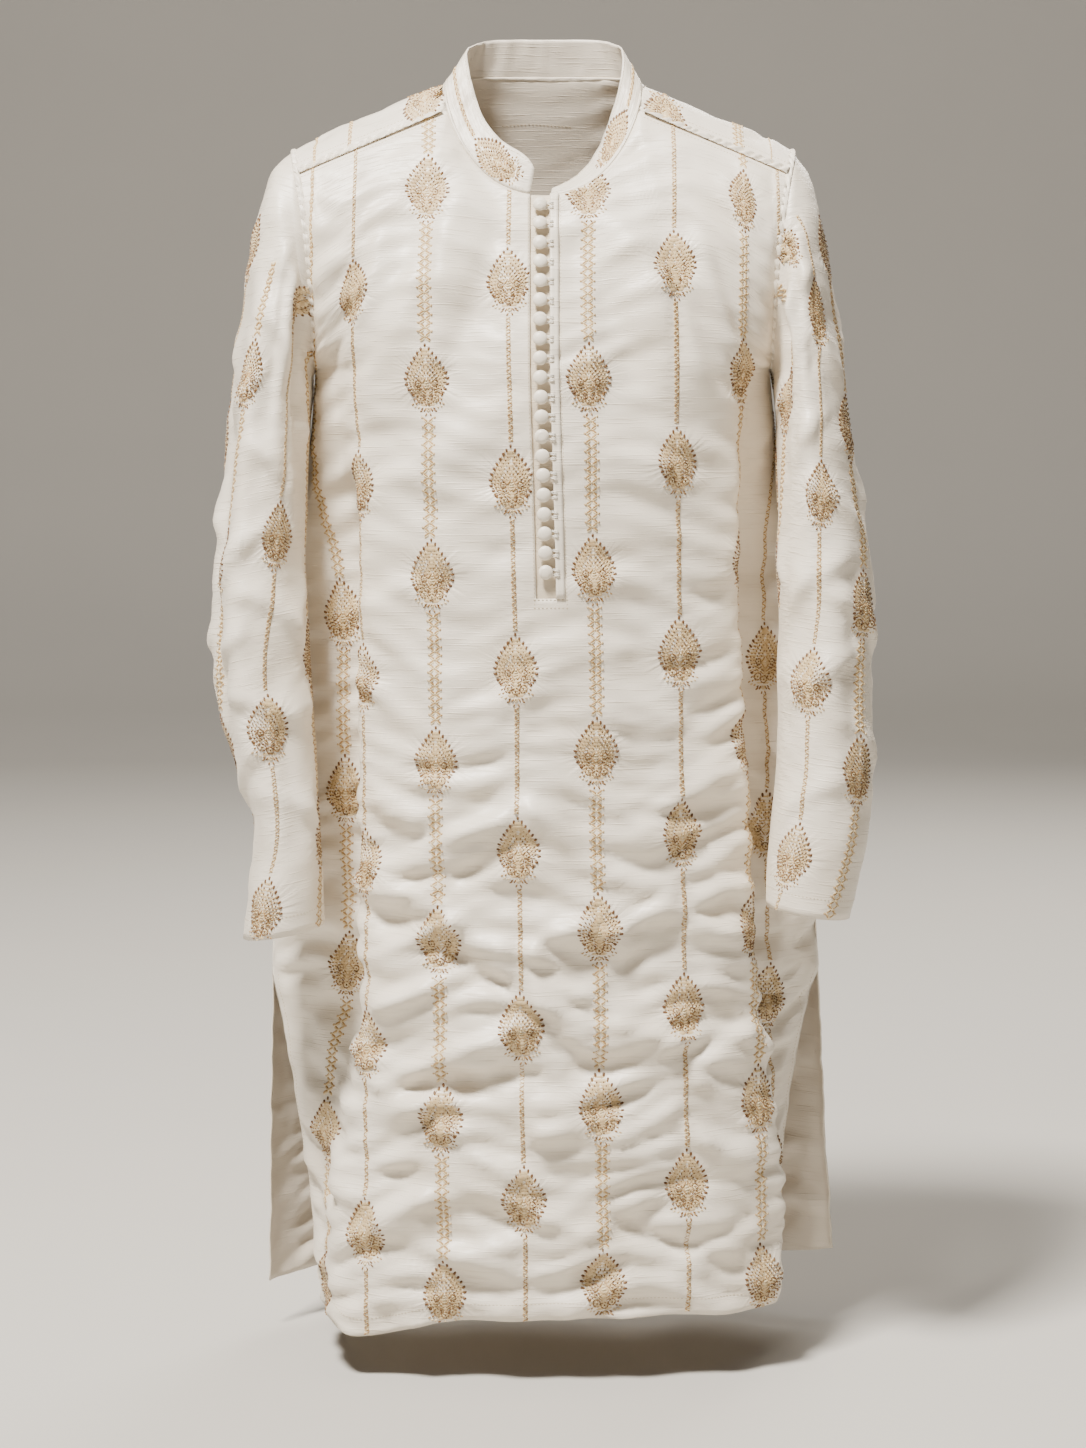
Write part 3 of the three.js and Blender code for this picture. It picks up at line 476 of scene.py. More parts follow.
class Cloth:
    """A grid of points on a piece of cloth, with its normals and its place on the flat cut."""

    def __init__(self, points, flat, flip, closed=False, keep=None):
        self.points = points
        self.flat = flat
        self.flip = flip
        self.closed = closed
        self.keep = keep
        self.edge_normals = []
        self.pucker = np.zeros((*points.shape[:2], 3))
        self.pull = np.zeros((*points.shape[:2], 3))
        self.lookup = None
        self.turn_normals()

    def turn_normals(self):
        self.normals = grid_normals(self.points, self.flip, self.closed)
        for where, normals in self.edge_normals:
            self.normals[where] = normals

    def shift(self, heights):
        """Moves the points out of the cloth by their heights."""
        self.points = self.points + self.normals * heights[..., None]
        self.turn_normals()

    def cells(self):
        rows, columns = self.points.shape[:2]
        keep = self.keep
        if keep is None:
            keep = np.ones((rows - 1, columns if self.closed else columns - 1), bool)
        return keep

    def place(self, spots):
        """Points and normals on the cloth at spots of its flat cut, and which of them are on it."""
        if self.lookup is None:
            self.lookup = self.make_lookup()
        tree, corners, flat, points, normals = self.lookup
        found = [tree.find_nearest((u, v, 0)) for u, v in spots]
        face = np.array([hit[2] for hit in found])
        on = np.array([hit[3] for hit in found]) < 0.6
        a, b, c = (flat[corners[face, k]] for k in range(3))
        spots = np.array([hit[0][:2] for hit in found])
        span = (b[:, 0] - a[:, 0]) * (c[:, 1] - a[:, 1]) - (c[:, 0] - a[:, 0]) * (b[:, 1] - a[:, 1])
        span = np.where(np.abs(span) < 1e-9, 1e-9, span)
        d = spots - a
        wb = (d[:, 0] * (c[:, 1] - a[:, 1]) - (c[:, 0] - a[:, 0]) * d[:, 1]) / span
        wc = ((b[:, 0] - a[:, 0]) * d[:, 1] - d[:, 0] * (b[:, 1] - a[:, 1])) / span
        weights = np.clip(np.stack([1 - wb - wc, wb, wc], -1), 0, 1)[..., None]
        weights /= weights.sum(1, keepdims=True)
        place = (points[corners[face]] * weights).sum(1)
        out = unit((normals[corners[face]] * weights).sum(1))
        return place, out, on

    def make_lookup(self):
        keep = self.cells()
        columns = self.flat.shape[1]
        i, j = np.nonzero(keep)
        a = i * columns + j
        quads = np.stack([a, a + 1, a + columns + 1, a + columns], -1)
        corners = np.concatenate([quads[:, [0, 1, 2]], quads[:, [0, 2, 3]]])
        flat = self.flat.reshape(-1, 2)
        wrap = (lambda grid: np.concatenate([grid, grid[:, :1]], 1)) if self.closed else (lambda g: g)
        tree = BVHTree.FromPolygons(np.c_[flat, np.zeros(len(flat))].tolist(), corners.tolist())
        return tree, corners, flat, wrap(self.points).reshape(-1, 3), wrap(self.normals).reshape(-1, 3)

    def shell(self, name, thickness, materials, lift=0.0):
        """A closed wall of the cloth: outer face, inner face and rims, with its flat cut as UV."""
        rows, columns = self.points.shape[:2]
        keep = self.cells()
        count = rows * columns
        wide = keep.shape[1]
        padded = np.pad(keep, ((1, 1), (0, 0)))
        left = np.roll(keep, 1, 1) if self.closed else np.pad(keep, ((0, 0), (1, 0)))[:, :wide]
        right = np.roll(keep, -1, 1) if self.closed else np.pad(keep, ((0, 0), (0, 1)))[:, 1:]
        corner = {"a": (0, 0), "b": (0, 1), "c": (1, 1), "d": (1, 0)}
        faces = []

        def add(chosen, text, material):
            i, j = np.nonzero(chosen)
            quad = [(i + corner[c.lower()][0], j + corner[c.lower()][1],
                     np.full(len(i), int(c.isupper()))) for c in text]
            quad = np.stack([np.stack(q, -1) for q in quad], 1)
            if self.flip < 0:
                quad = quad[:, ::-1]
            faces.append((quad, np.full(len(i), material)))

        inside = len(materials) - 1
        add(keep, "abcd", 0)
        add(keep, "DCBA", inside)
        add(keep & ~padded[:-2], "ABba", 0)
        add(keep & ~padded[2:], "dcCD", 0)
        add(keep & ~left, "adDA", 0)
        add(keep & ~right, "BCcb", 0)
        quads = np.concatenate([q for q, _ in faces])
        index = np.concatenate([m for _, m in faces])
        i, j, layer = quads[..., 0], quads[..., 1], quads[..., 2]
        corners = i * columns + j % columns + layer * count
        outer = self.points + self.normals * lift
        inner = outer - self.normals * thickness
        points = np.concatenate([outer.reshape(-1, 3), inner.reshape(-1, 3)])
        used, corners = np.unique(corners, return_inverse=True)
        corners = corners.reshape(-1, 4)
        obj = mesh_object(name, points[used], corners, materials)
        obj.data.polygons.foreach_set("material_index", index.astype(np.int32))
        uv = obj.data.uv_layers.new(name="flat cut")
        uv.data.foreach_set("uv", (self.flat[i, j] * MM).astype(np.float32).ravel())
        for key, values in (("pucker", self.pucker), ("pull", self.pull)):
            vertex_values(obj, key, np.tile(values.reshape(-1, 3), (2, 1))[used])
        return obj


def vertex_values(obj, name, values):
    """Stores a vector per vertex for a material to read."""
    attribute = obj.data.attributes.new(name, "FLOAT_VECTOR", "POINT")
    attribute.data.foreach_set("vector", values.astype(np.float32).ravel())


def mesh_object(name, points, faces, materials):
    """A smooth mesh object at the origin, from points in millimetres."""
    mesh = bpy.data.meshes.new(name)
    mesh.from_pydata((np.asarray(points) * MM).tolist(), [], [list(map(int, f)) for f in faces])
    for material in materials:
        mesh.materials.append(material)
    mesh.shade_smooth()
    obj = bpy.data.objects.new(name, mesh)
    bpy.context.scene.collection.objects.link(obj)
    return obj


def dress(obj, slot, *nodes):
    """Makes a finished piece ride on the part and stand for its solids."""
    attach(obj, "root")
    if nodes:
        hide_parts(*nodes)
    return obj


# The embroidered columns: place along the weft, kind of line, and the leaves' middles down the warp
FRONT_COLUMNS = (
    (-243, "wide", (463, 620, 776, 925, 1062)),
    (-170, "narrow", (180, 350, 516, 677, 836, 1001)),
    (-98, "wide", (92, 260, 426, 586, 741, 897, 1051)),
    (-27, "narrow", (174, 346, 506, 662, 815, 966)),
    (41, "wide", (90, 259, 421, 577, 729, 884, 1040)),
    (116, "narrow", (162, 330, 493, 649, 800, 955)),
    (188, "wide", (86, 251, 414, 573, 734, 887, 1045)),
    (257, "narrow", (503, 652, 806, 960)),
)
BACK_COLUMNS = (
    (-250, "wide", (330, 490, 650, 806, 960)),
    (-176, "narrow", (97, 255, 412, 570, 728, 884, 1040)),
    (-104, "wide", (-42, 16, 175, 334, 492, 650, 806, 962)),
    (-34, "narrow", (92, 250, 408, 566, 724, 882, 1040)),
    (36, "wide", (12, 170, 330, 488, 646, 804, 962)),
    (108, "narrow", (-60, 92, 252, 410, 568, 726, 882, 1040)),
    (180, "wide", (20, 178, 336, 494, 652, 808, 964)),
    (250, "narrow", (410, 570, 728, 884, 1042)),
)


def stepped_line(points, step):
    """Places every step along an open line of corners."""
    points = np.array(points, float)
    run = run_lengths(points[None], 1)[0]
    count = max(2, int(round(run[-1] / step)) + 1)
    s = np.linspace(0, run[-1], count)
    return np.stack([np.interp(s, run, points[:, k]) for k in (0, 1)], -1)


# The right half of a leaf, from its point down to its curls, in millimetres from its middle
LEAF_SIDE = ((3.4, 26.2), (7.1, 21.6), (10.4, 16.9), (13.4, 12.2), (16, 7.2), (17.6, 2.2), (17.4, -2.8),
             (15.2, -7.6), (12.2, -11.6))
LEAF_FILL = ((0.4, 29), *LEAF_SIDE, (12.4, -15.4), (10.4, -19.6), (5.4, -22.4))
LEAF_HEART = (0, -5)
CURLS = ((-6.6, -15.6, 3.5), (6.6, -15.6, 3.5), (0, -18.2, 3.4), (-7.4, -2.6, 3.0), (7.4, -2.6, 3.0))


def leaf_strokes():
    """The stitches of one leaf: x and y of both ends, width, height, and tone of both ends."""
    strokes = [(0, 28.4, 0, 32.2, 2.3, 1.2, 0.6, 0.85)]
    heart = np.array(LEAF_HEART, float)
    # pale satin rows that fill the leaf and lie under the rest
    outline = np.array(LEAF_FILL[::-1], float)
    for k, y in enumerate(np.arange(-21.4, 27, 2.9)):
        reach = 0.95 * np.interp(y, outline[:, 1], outline[:, 0])
        parts = max(1, int(round(2 * reach / 9)))
        stops = np.linspace(-reach, reach, parts + 1)
        for a, b in zip(stops, stops[1:]):
            strokes.append((a - 0.5, y, b + 0.5, y + 0.4, 3.6, 0.7, 0.26, 0.14))

    def dash(p, towards, length, width, height, inner, outer):
        way = unit(np.array(towards, float))
        a = p - way * length / 2
        b = p + way * length / 2
        strokes.append((*a, *b, width, height, inner, outer))

    for sign in (-1, 1):
        side = np.array(LEAF_SIDE) * (sign, 1)
        # the rim: brown seeds that point outwards, with pale stitches between them
        for p in stepped_line(side, 4.6):
            way = unit(p - heart)
            beside = np.array([-way[1], way[0]])
            dash(p + way * 0.6, way, 4.2, 2.3, 1.3, 0.55, 0.9)
            dash(p + beside * 2.0 - way * 0.9, way, 3.6, 1.2, 1.1, 0.3, 0.0)
        # rings of short stitches, by turns beige and cream
        for scale, step, tone in ((0.84, 3.4, 0.8), (0.68, 3.1, 0.68), (0.53, 2.9, 0.78), (0.37, 2.9, 0.65)):
            ring = heart + (side - heart) * scale
            for p in stepped_line(ring, step):
                way = unit(p - heart)
                dash(p, way, 2.3, 1.4, 1.2, tone, tone - 0.1)
            for p in stepped_line(heart + (side - heart) * (scale - 0.06), step):
                way = unit(p - heart)
                dash(p + np.array([-way[1], way[0]]) * step / 2, way, 2.4, 1.0, 1.15, 0.0, 0.05)
        # two bars that run down from the upper curl to the middle, cream beside beige
        for shift, tone in ((0, 0.55), (1.3, 0.0), (2.5, 0.5)):
            strokes.append((sign * 0.6, -11.6 - shift, sign * 5.4, -8.4 - shift, 1.2, 1.2, tone, tone))
            strokes.append((sign * 5.4, -8.4 - shift, sign * 10.6, -7.0 - shift, 1.2, 1.2, tone, tone))
        # the scroll beside the lower curls, and the sprigs at the foot
        for x, y, wide in ((12.6, -13.0, 1.9), (14.4, -10.6, 1.6), (12.2, -16.4, 1.7), (10.8, -19.6, 1.6)):
            dash(np.array((sign * x, y)), (sign, -0.5), 2.6, wide, 1.2, 0.45, 0.7)
        for x, y, tone in ((8.6, -23.4, 0.1), (11.8, -22.6, 0.0), (14, -20.4, 0.3), (5.4, -24.4, 0.6)):
            dash(np.array((sign * x, y)), (sign, -0.55), 3.2, 1.5, 1.0, tone, tone + 0.15)
        for x0, y0, x1, y1 in ((1.8, -23.6, 4.4, -27.4), (4.6, -25.2, 8.2, -27.6), (1.2, -28.2, 2.8, -31.4)):
            strokes.append((sign * x0, y0, sign * x1, y1, 1.6, 1.0, 0.45, 0.75))
    # the curls: a beige ring, a cream ring in it, and a dark seed in the middle
    for x, y, radius in CURLS:
        circle(strokes, (x, y), radius, 7, 1.5, 0.6)
        circle(strokes, (x, y), radius - 1.5, 4, 1.6, 0.0)
        dash(np.array((x, y)), (0, 1), 2.6, 1.5, 1.5, 0.7, 0.95)
    circle(strokes, (0, -25.4), 1.7, 5, 1.4, 0.05)
    # the diamond above the bars, with pale stitches across it
    diamond = ((0, 2.6), (4.6, -3.6), (0, -9.4), (-4.6, -3.6))
    for a, b in zip(diamond, diamond[1:] + diamond[:1]):
        strokes.append((*a, *b, 1.1, 1.3, 0.5, 0.45))
    for k in range(4):
        y = 0.2 - 2.2 * k
        reach = 3.8 - abs(y + 3.5) * 0.7
        strokes.append((-reach, y - 0.5, reach, y + 0.5, 1.7, 1.3, 0.0, 0.1))
    return np.array(strokes, float)


def circle(strokes, centre, radius, count, width, tone):
    for k in range(count):
        a, b = (2 * math.pi * (k + e) / count for e in (0, 1.08))
        strokes.append((centre[0] + radius * math.cos(a), centre[1] + radius * math.sin(a),
                        centre[0] + radius * math.cos(b), centre[1] + radius * math.sin(b),
                        width, 1.3, tone, tone + 0.1))


LEAF = leaf_strokes()
LEAF_TOP = 33.5
LEAF_FOOT = 31.5
NARROW_PITCH = 6.2
WIDE_PITCH = 7.5


def line_strokes(kind, top, foot):
    """The stitches of a stretch of an embroidered line, in x and down from the stretch's top."""
    pitch = NARROW_PITCH if kind == "narrow" else WIDE_PITCH
    count = max(1, int(round((foot - top) / pitch)))
    pitch = (foot - top) / count
    strokes = []
    for k in range(count):
        y = top + k * pitch
        if kind == "narrow":
            for sign, tone in ((-1, 0.48), (1, 0.05)):
                strokes.append((-sign * 2.6, y, sign * 2.6, y + pitch / 2, 1.5, 0.9, tone, tone))
                strokes.append((sign * 2.6, y + pitch / 2, -sign * 2.6, y + pitch, 1.5, 0.9, tone, tone))
            continue
        for sign in (-1, 1):
            for shift, tone in ((0.0, 0.42), (1.5, 0.0)):
                strokes.append((-sign * 5, y + shift, 0, y + pitch / 2 + shift, 1.8, 0.9, tone, tone))
                strokes.append((0, y + pitch / 2 + shift, sign * 5, y + pitch + shift, 1.8, 0.9, tone, tone))
            strokes.append((sign * 4.2, y, sign * 6.8, y, 2.2, 1.2, 0.0, 0.5))
        strokes.append((0, y + pitch / 2 - 1.4, 0, y + pitch / 2 + 1.4, 2.0, 1.2, 0.0, 0.1))
    return np.array(strokes, float)


def embroidery_strokes(columns, top, foot, seed, up=-1, lean=0.0):
    """All stitches of a piece on its flat cut; up is 1 where the cut is measured up the cloth."""
    draw = np.random.RandomState(seed)
    above, below = (LEAF_TOP, LEAF_FOOT) if up < 0 else (LEAF_FOOT, LEAF_TOP)
    parts = []
    for u, kind, leaves in columns:
        edges = [top]
        for v in leaves:
            leaf = LEAF.copy()
            turn = draw.uniform(-0.035, 0.035) - math.atan(lean)
            scale = draw.uniform(0.97, 1.03)
            spin = np.array([[math.cos(turn), -math.sin(turn)], [math.sin(turn), math.cos(turn)]])
            for k in (0, 2):
                jitter = draw.uniform(-0.25, 0.25, (len(leaf), 2))
                leaf[:, k:k + 2] = (leaf[:, k:k + 2] * (1, up)) @ spin.T * scale + jitter + (u + lean * v, v)
            parts.append(leaf)
            edges += [v - above, v + below]
        edges.append(foot)
        for a, b in zip(edges[::2], edges[1::2]):
            if b - a > NARROW_PITCH and kind != "leaves alone":
                line = line_strokes(kind, a, b)
                line[:, [0, 2]] += u + lean * line[:, [1, 3]] + 0.6 * np.sin(line[:, [1, 3]] / 37)
                line[:, :4] += draw.uniform(-0.2, 0.2, (len(line), 4))
                parts.append(line)
    return np.concatenate(parts)


def sewn_row(line, pitch=3.3, length=2.3):
    """A row of machine stitches along a line of points on the flat cut."""
    places = stepped_line(line, pitch)
    way = unit(np.gradient(places, axis=0)) * length / 2
    sizes = np.tile((0.6, 0.4, 0.2, 0.6), (len(places), 1))
    return np.concatenate([places - way, places + way, sizes], 1)


# A stitch is a small raised lens that lies open on the cloth: six points round it, two on its ridge
STITCH_FACES = np.array([(0, 5, 6), (0, 6, 1), (5, 4, 7), (5, 7, 6), (6, 7, 2), (6, 2, 1), (4, 3, 7),
                         (3, 2, 7)])
STITCH_ALONG = np.array([0, 0.24, 0.76, 1, 0.76, 0.24, 0.3, 0.7])
STITCH_ACROSS = np.array([0, 0.5, 0.5, 0, -0.5, -0.5, 0, 0])
STITCH_SINK = 0.1


def stitches_object(name, cloth, strokes, material, lift=0.0, side=1):
    """One mesh of stitches that lie on a cloth; side is -1 for its wrong side."""
    ends = np.concatenate([strokes[:, 0:2], strokes[:, 2:4]])
    points, normals, on = cloth.place(ends)
    count = len(strokes)
    kept = on[:count] & on[count:]
    a, b = points[:count][kept], points[count:][kept]
    out = side * unit(normals[:count][kept] + normals[count:][kept])
    reach = np.linalg.norm(b - a, axis=1)
    flat_reach = np.linalg.norm(strokes[kept, 2:4] - strokes[kept, 0:2], axis=1)
    whole = reach < 2.2 * flat_reach + 0.5
    a, b, out, chosen = a[whole], b[whole], out[whole], strokes[kept][whole]
    return lens_mesh(name, a, b, out, chosen[:, 4:8], material, lift)


def lens_mesh(name, a, b, out, sizes, material, lift=0.0):
    along = b - a
    across = unit(np.cross(out, along))
    width, height, tone_a, tone_b = (sizes[:, k, None] for k in range(4))
    ridge = (np.arange(8) >= 6).astype(float)
    rise = np.where(ridge, height + lift, lift - STITCH_SINK)
    points = (a[:, None] + along[:, None] * STITCH_ALONG[None, :, None]
              + across[:, None] * (STITCH_ACROSS * width)[..., None]
              + out[:, None] * rise[..., None])
    faces = STITCH_FACES[None] + 8 * np.arange(len(a))[:, None, None]
    obj = mesh_object(name, points.reshape(-1, 3), faces.reshape(-1, 3), [material])
    tone = mix(tone_a, tone_b, STITCH_ALONG[None])
    attribute = obj.data.attributes.new("tone", "FLOAT", "POINT")
    attribute.data.foreach_set("value", tone.astype(np.float32).ravel())
    return obj


# Short puckers round a leaf: how many of them fit round it, over 2 pi
PULLS_ROUND = 6.5

# Creases: middle, length, angle up to the right, half width, height (valleys below 0), bend
FRONT_CREASES = (
    (-60, 640, 90, 17, 9.5, 3.4, 6), (-52, 668, 100, 29, 10.5, -3.1, -5), (8, 640, 70, -26, 9, 2.6, 4),
    (78, 620, 80, -17, 10.5, 2.9, 5), (150, 600, 70, 14, 9.5, 2.3, -4), (-130, 700, 80, -20, 9.5, 2.6, 5),
    (-62, 740, 88, -26, 10.5, 3.6, 7), (-58, 770, 96, -32, 10.5, -3.6, -6), (10, 730, 80, 23, 9.5, 3.1, -5),
    (80, 720, 86, 32, 10.5, 3.4, 6), (82, 750, 90, 38, 9.5, -3.1, -5), (150, 740, 76, -23, 10.5, 3.1, 6),
    (-132, 790, 84, 26, 10.5, 3.4, -6), (-62, 830, 96, 20, 11.5, 3.9, 8), (-60, 860, 88, 12, 9.5, -3.4, -6),
    (10, 800, 90, -29, 10.5, 3.6, 6), (12, 832, 84, -38, 9.5, -3.4, 5), (80, 820, 90, -20, 10.5, 3.4, 7),
    (152, 836, 84, 29, 10.5, 3.6, -6), (-134, 880, 80, -14, 10.5, 3.4, 6), (-60, 930, 92, -23, 11.5, 3.9, 7),
    (8, 900, 86, 17, 10.5, 3.4, -6), (80, 900, 92, 26, 10.5, 3.6, 6), (152, 930, 80, -26, 10.5, 3.4, 6),
    (-132, 970, 84, 20, 10.5, 3.4, -5), (-60, 1010, 96, 14, 10.5, 3.6, 6), (10, 990, 88, -17, 10.5, 3.4, 6),
    (80, 1000, 90, -26, 10.5, -3.1, 6), (150, 1010, 84, 17, 10.5, 3.4, -6),
    (-60, 540, 80, 20, 10.5, 2.1, 5), (80, 540, 84, -17, 10.5, 2.1, -4), (-120, 600, 70, -14, 10.5, 2.1, 4),
    (-95, 165, 190, 62, 20, 4.6, 10), (-58, 205, 170, 68, 18, -3.6, 8), (-152, 185, 120, 70, 14, 3.6, 6),
    (100, 175, 190, -60, 20, 4.6, -10), (64, 215, 170, -66, 18, -3.6, -8), (155, 195, 120, -68, 14, 3.6, 6),
    (-36, 300, 120, 30, 20, 2.8, 6), (66, 330, 130, -25, 20, 2.8, 6), (-70, 380, 110, 18, 15, 2.4, 6),
    (120, 400, 110, -14, 15, 2.4, 6), (-150, 450, 90, 24, 13, 2.6, 6), (30, 500, 90, 10, 13, 2, 5),
    (-100, 330, 120, 35, 16, 2.2, 10), (110, 340, 120, -32, 16, 2.2, -10), (-140, 250, 90, 50, 15, 2.6, 6),
    (140, 260, 90, -52, 15, 2.6, 6), (60, 430, 80, 20, 12, 1.4, 4), (-60, 430, 86, -16, 13, 1.4, 4),
)
BACK_CREASES = (
    (-60, 620, 96, 17, 10.5, 2.9, 6), (40, 650, 90, -20, 10.5, 3.1, 5), (140, 600, 80, 23, 10.5, 2.6, -5),
    (-140, 680, 84, -17, 10.5, 2.9, 5), (-60, 730, 96, -26, 10.5, 3.4, 6), (50, 760, 100, 26, 11.5, 3.6, -6),
    (140, 720, 84, -29, 10.5, 3.1, 6), (-140, 790, 88, 23, 10.5, 3.4, -6), (-50, 840, 92, 14, 11.5, 3.6, 7),
    (50, 860, 94, -23, 10.5, 3.6, 6), (140, 830, 88, 32, 10.5, 3.4, 6), (-140, 900, 84, -20, 10.5, 3.4, 6),
    (-50, 950, 96, -17, 10.5, 3.6, -6), (60, 960, 90, 23, 10.5, 3.4, 6), (145, 940, 84, -17, 10.5, 3.4, 5),
    (-140, 1000, 90, 17, 10.5, 3.4, 6), (0, 480, 110, 4, 16, 1.8, 6), (-90, 400, 120, 24, 16, 2, 8),
    (90, 410, 120, -22, 16, 2, -8), (-140, 240, 110, 48, 18, 3, 8), (140, 250, 110, -46, 18, 3, 8),
    (0, 300, 90, -5, 18, 1.6, 6), (-60, 540, 90, -17, 11.5, 2.3, 5), (80, 530, 96, 14, 13, 1.8, 5),
)
SLEEVE_CREASES = {
    "left": ((30, 560, 230, 88, 11, 3.4, 6), (60, 540, 220, 86, 9, -4.4, 4), (4, 600, 160, 80, 12, 2.6, 5),
             (20, 520, 90, 40, 10, 3.0, 8), (-30, 470, 80, -35, 10, 2.6, 6), (30, 400, 90, 48, 10, 2.8, 8),
             (-20, 330, 90, -42, 11, 3.2, 8), (30, 280, 90, 38, 10, 3.4, 8), (-35, 250, 80, -30, 9, 3.0, 6),
             (15, 200, 90, 30, 10, 3.0, 8), (-25, 150, 80, -36, 9, 2.6, 6), (25, 110, 80, 34, 9, 2.4, 6),
             (90, 300, 90, -30, 11, 3.2, 7), (110, 420, 90, 35, 11, 3.0, 7), (90, 180, 80, 30, 10, 2.8, 6),
             (-90, 380, 90, 30, 11, 3.0, 7), (-100, 250, 90, -35, 11, 3.2, 7),
             (-80, 520, 80, 40, 11, 2.6, 6)),
    "right": ((-30, 560, 230, 92, 11, 3.4, 6), (-60, 540, 220, 94, 9, -4.4, 4),
              (-4, 590, 160, 98, 12, 2.6, 5),
              (-20, 540, 90, -44, 10, 2.8, 8), (25, 480, 84, 38, 10, 2.6, 6), (-30, 410, 90, -48, 10, 2.8, 8),
              (20, 350, 90, 40, 11, 3.2, 8), (-25, 290, 96, -40, 10, 3.6, 8), (30, 262, 90, 30, 9, 3.4, 6),
              (-10, 215, 90, -34, 10, 3.0, 8), (30, 160, 80, 30, 9, 2.6, 6), (-25, 105, 80, -34, 9, 2.4, 6),
              (-90, 310, 90, 30, 11, 3.2, 7), (-110, 430, 90, -35, 11, 3.0, 7),
              (-90, 190, 80, -30, 10, 2.8, 6),
              (90, 380, 90, -30, 11, 3.0, 7), (100, 260, 90, 35, 11, 3.2, 7), (80, 520, 80, -40, 11, 2.6, 6)),
}


def crease_heights(flat, creases):
    """The listed creases: each a soft ridge or valley along a bent line that fades at its ends."""
    u, v = flat[..., 0], flat[..., 1]
    total = np.zeros(u.shape)
    for middle_u, middle_v, length, angle, width, height, bend in creases:
        turn = math.radians(angle)
        du, dv = u - middle_u, middle_v - v
        along = (du * math.cos(turn) + dv * math.sin(turn)) / (length / 2)
        across = (dv * math.cos(turn) - du * math.sin(turn) - bend * along ** 2) / width
        across = across * (1 + 0.35 * np.tanh(across))
        total += height * np.exp(-across ** 2 - along ** 4)
    return total


def noise_heights(flat, seed, length_u, length_v):
    """Soft random relief on the flat cut, longer along the weft than down the warp."""
    spots = flat.reshape(-1, 2)
    bent = [(u / length_u, (v + 13 * math.sin(u / 33 + v / 120 + seed)) / length_v, seed * 7.3)
            for u, v in spots]
    return np.array([noise.noise(spot) for spot in bent]).reshape(flat.shape[:-1])


def column_nearness(flat, columns, width):
    u = flat[..., 0]
    return sum(np.exp(-((u - column[0]) / width) ** 2) for column in columns)


def puckers(flat, columns):
    """How strongly the sewing puckers the cloth, by its lines and round its leaves, and which way."""
    u, v = flat[..., 0], flat[..., 1]
    lines = 0.35 * column_nearness(flat, columns, 11)
    spots = [(column, leaf) for column, _, leaves in columns for leaf in leaves]
    du = np.stack([u - spot[0] for spot in spots], -1)
    dv = np.stack([v - spot[1] for spot in spots], -1)
    reach = np.hypot(du / 36, dv / 30)
    nearest = reach.argmin(-1)[..., None]
    du, dv, reach = (np.take_along_axis(grid, nearest, -1) for grid in (du, dv, reach))
    round_leaf = np.exp(-((reach - 0.64) / 0.3) ** 2)
    way = PULLS_ROUND * unit(np.concatenate([du, dv], -1) + 1e-6)
    return (np.concatenate([lines[..., None], round_leaf, 0 * reach], -1),
            np.concatenate([way, 3.1 * nearest], -1))


def panel_cloth(panel):
    """The front or the back, with its chart, its creases and its seams trimmed by half a gap."""
    points, top_normals, on_neck = panel_face(panel)
    base_row = LOWER_ROWS * FINE_ROWS
    flat = panel_chart(points, base_row)
    columns = FRONT_COLUMNS if panel == "front" else BACK_COLUMNS
    creases = FRONT_CREASES if panel == "front" else BACK_CREASES
    keep = np.ones((points.shape[0] - 1, points.shape[1] - 1), bool)
    if panel == "front":
        middle = points.shape[1] // 2
        level = -points[:-1, middle, 2]
        keep[level < PLACKET_END + 1, middle - FINE_FRONT // 2:middle + FINE_FRONT // 2] = False
    cloth = Cloth(points, flat, 1 if panel == "front" else -1, keep=keep)
    seam_rows = slice(0, base_row + 1)
    side = np.array([1.0, 0, 0])
    cloth.edge_normals = [((seam_rows, 0), -side), ((seam_rows, -1), side), ((-1,), top_normals)]
    cloth.turn_normals()
    cloth.pucker, cloth.pull = puckers(flat, columns)
    low = smooth(flat[..., 1], *SKIRT_STARTS)
    soft = noise_heights(flat, 3 if panel == "front" else 5, 56, 18) * mix(*PANEL_SOFT, low)
    small = noise_heights(flat, 11, 34, 10) * mix(*PANEL_SMALL, low)
    stiff = 1 - 0.5 * np.minimum(1, column_nearness(flat, columns, 9))
    heights = (crease_heights(flat, creases) * mix(*PANEL_CREASES, low) + soft) * stiff + small
    edge = np.abs(flat[..., 0]).max(1, keepdims=True) - np.abs(flat[..., 0])
    slit = smooth(flat[..., 1], SLIT_TOP, SLIT_TOP + 60)
    heights *= mix(smooth(edge, 0, 26), mix(0.12, 1, smooth(edge, 0, 50)), slit)
    rows_left = np.arange(len(points))[::-1][:, None]
    heights *= smooth(rows_left, 0, 7)
    if panel == "front":
        heights *= mix(1, 0.25, np.exp(-(flat[..., 0] / 24) ** 2) * (flat[..., 1] < PLACKET_END + 30))
    else:
        # the back lies smooth below the neck, where its inside shows from the front
        heights *= 1 - 0.85 * np.exp(-(flat[..., 0] / 100) ** 2) * (1 - smooth(flat[..., 1], 110, 280))
    cloth.shift(heights)
    towards = -1 if panel == "front" else 1
    for j in (0, -1):
        cloth.points[seam_rows, j, 1] += towards * SEAM_GAP / 2
    slope = unit(cloth.points[-2] - cloth.points[-1]) * SEAM_GAP / 2
    cloth.points[-1] += np.where(on_neck[:, None], 0, slope)
    cloth.shoulder = ~on_neck
    return cloth


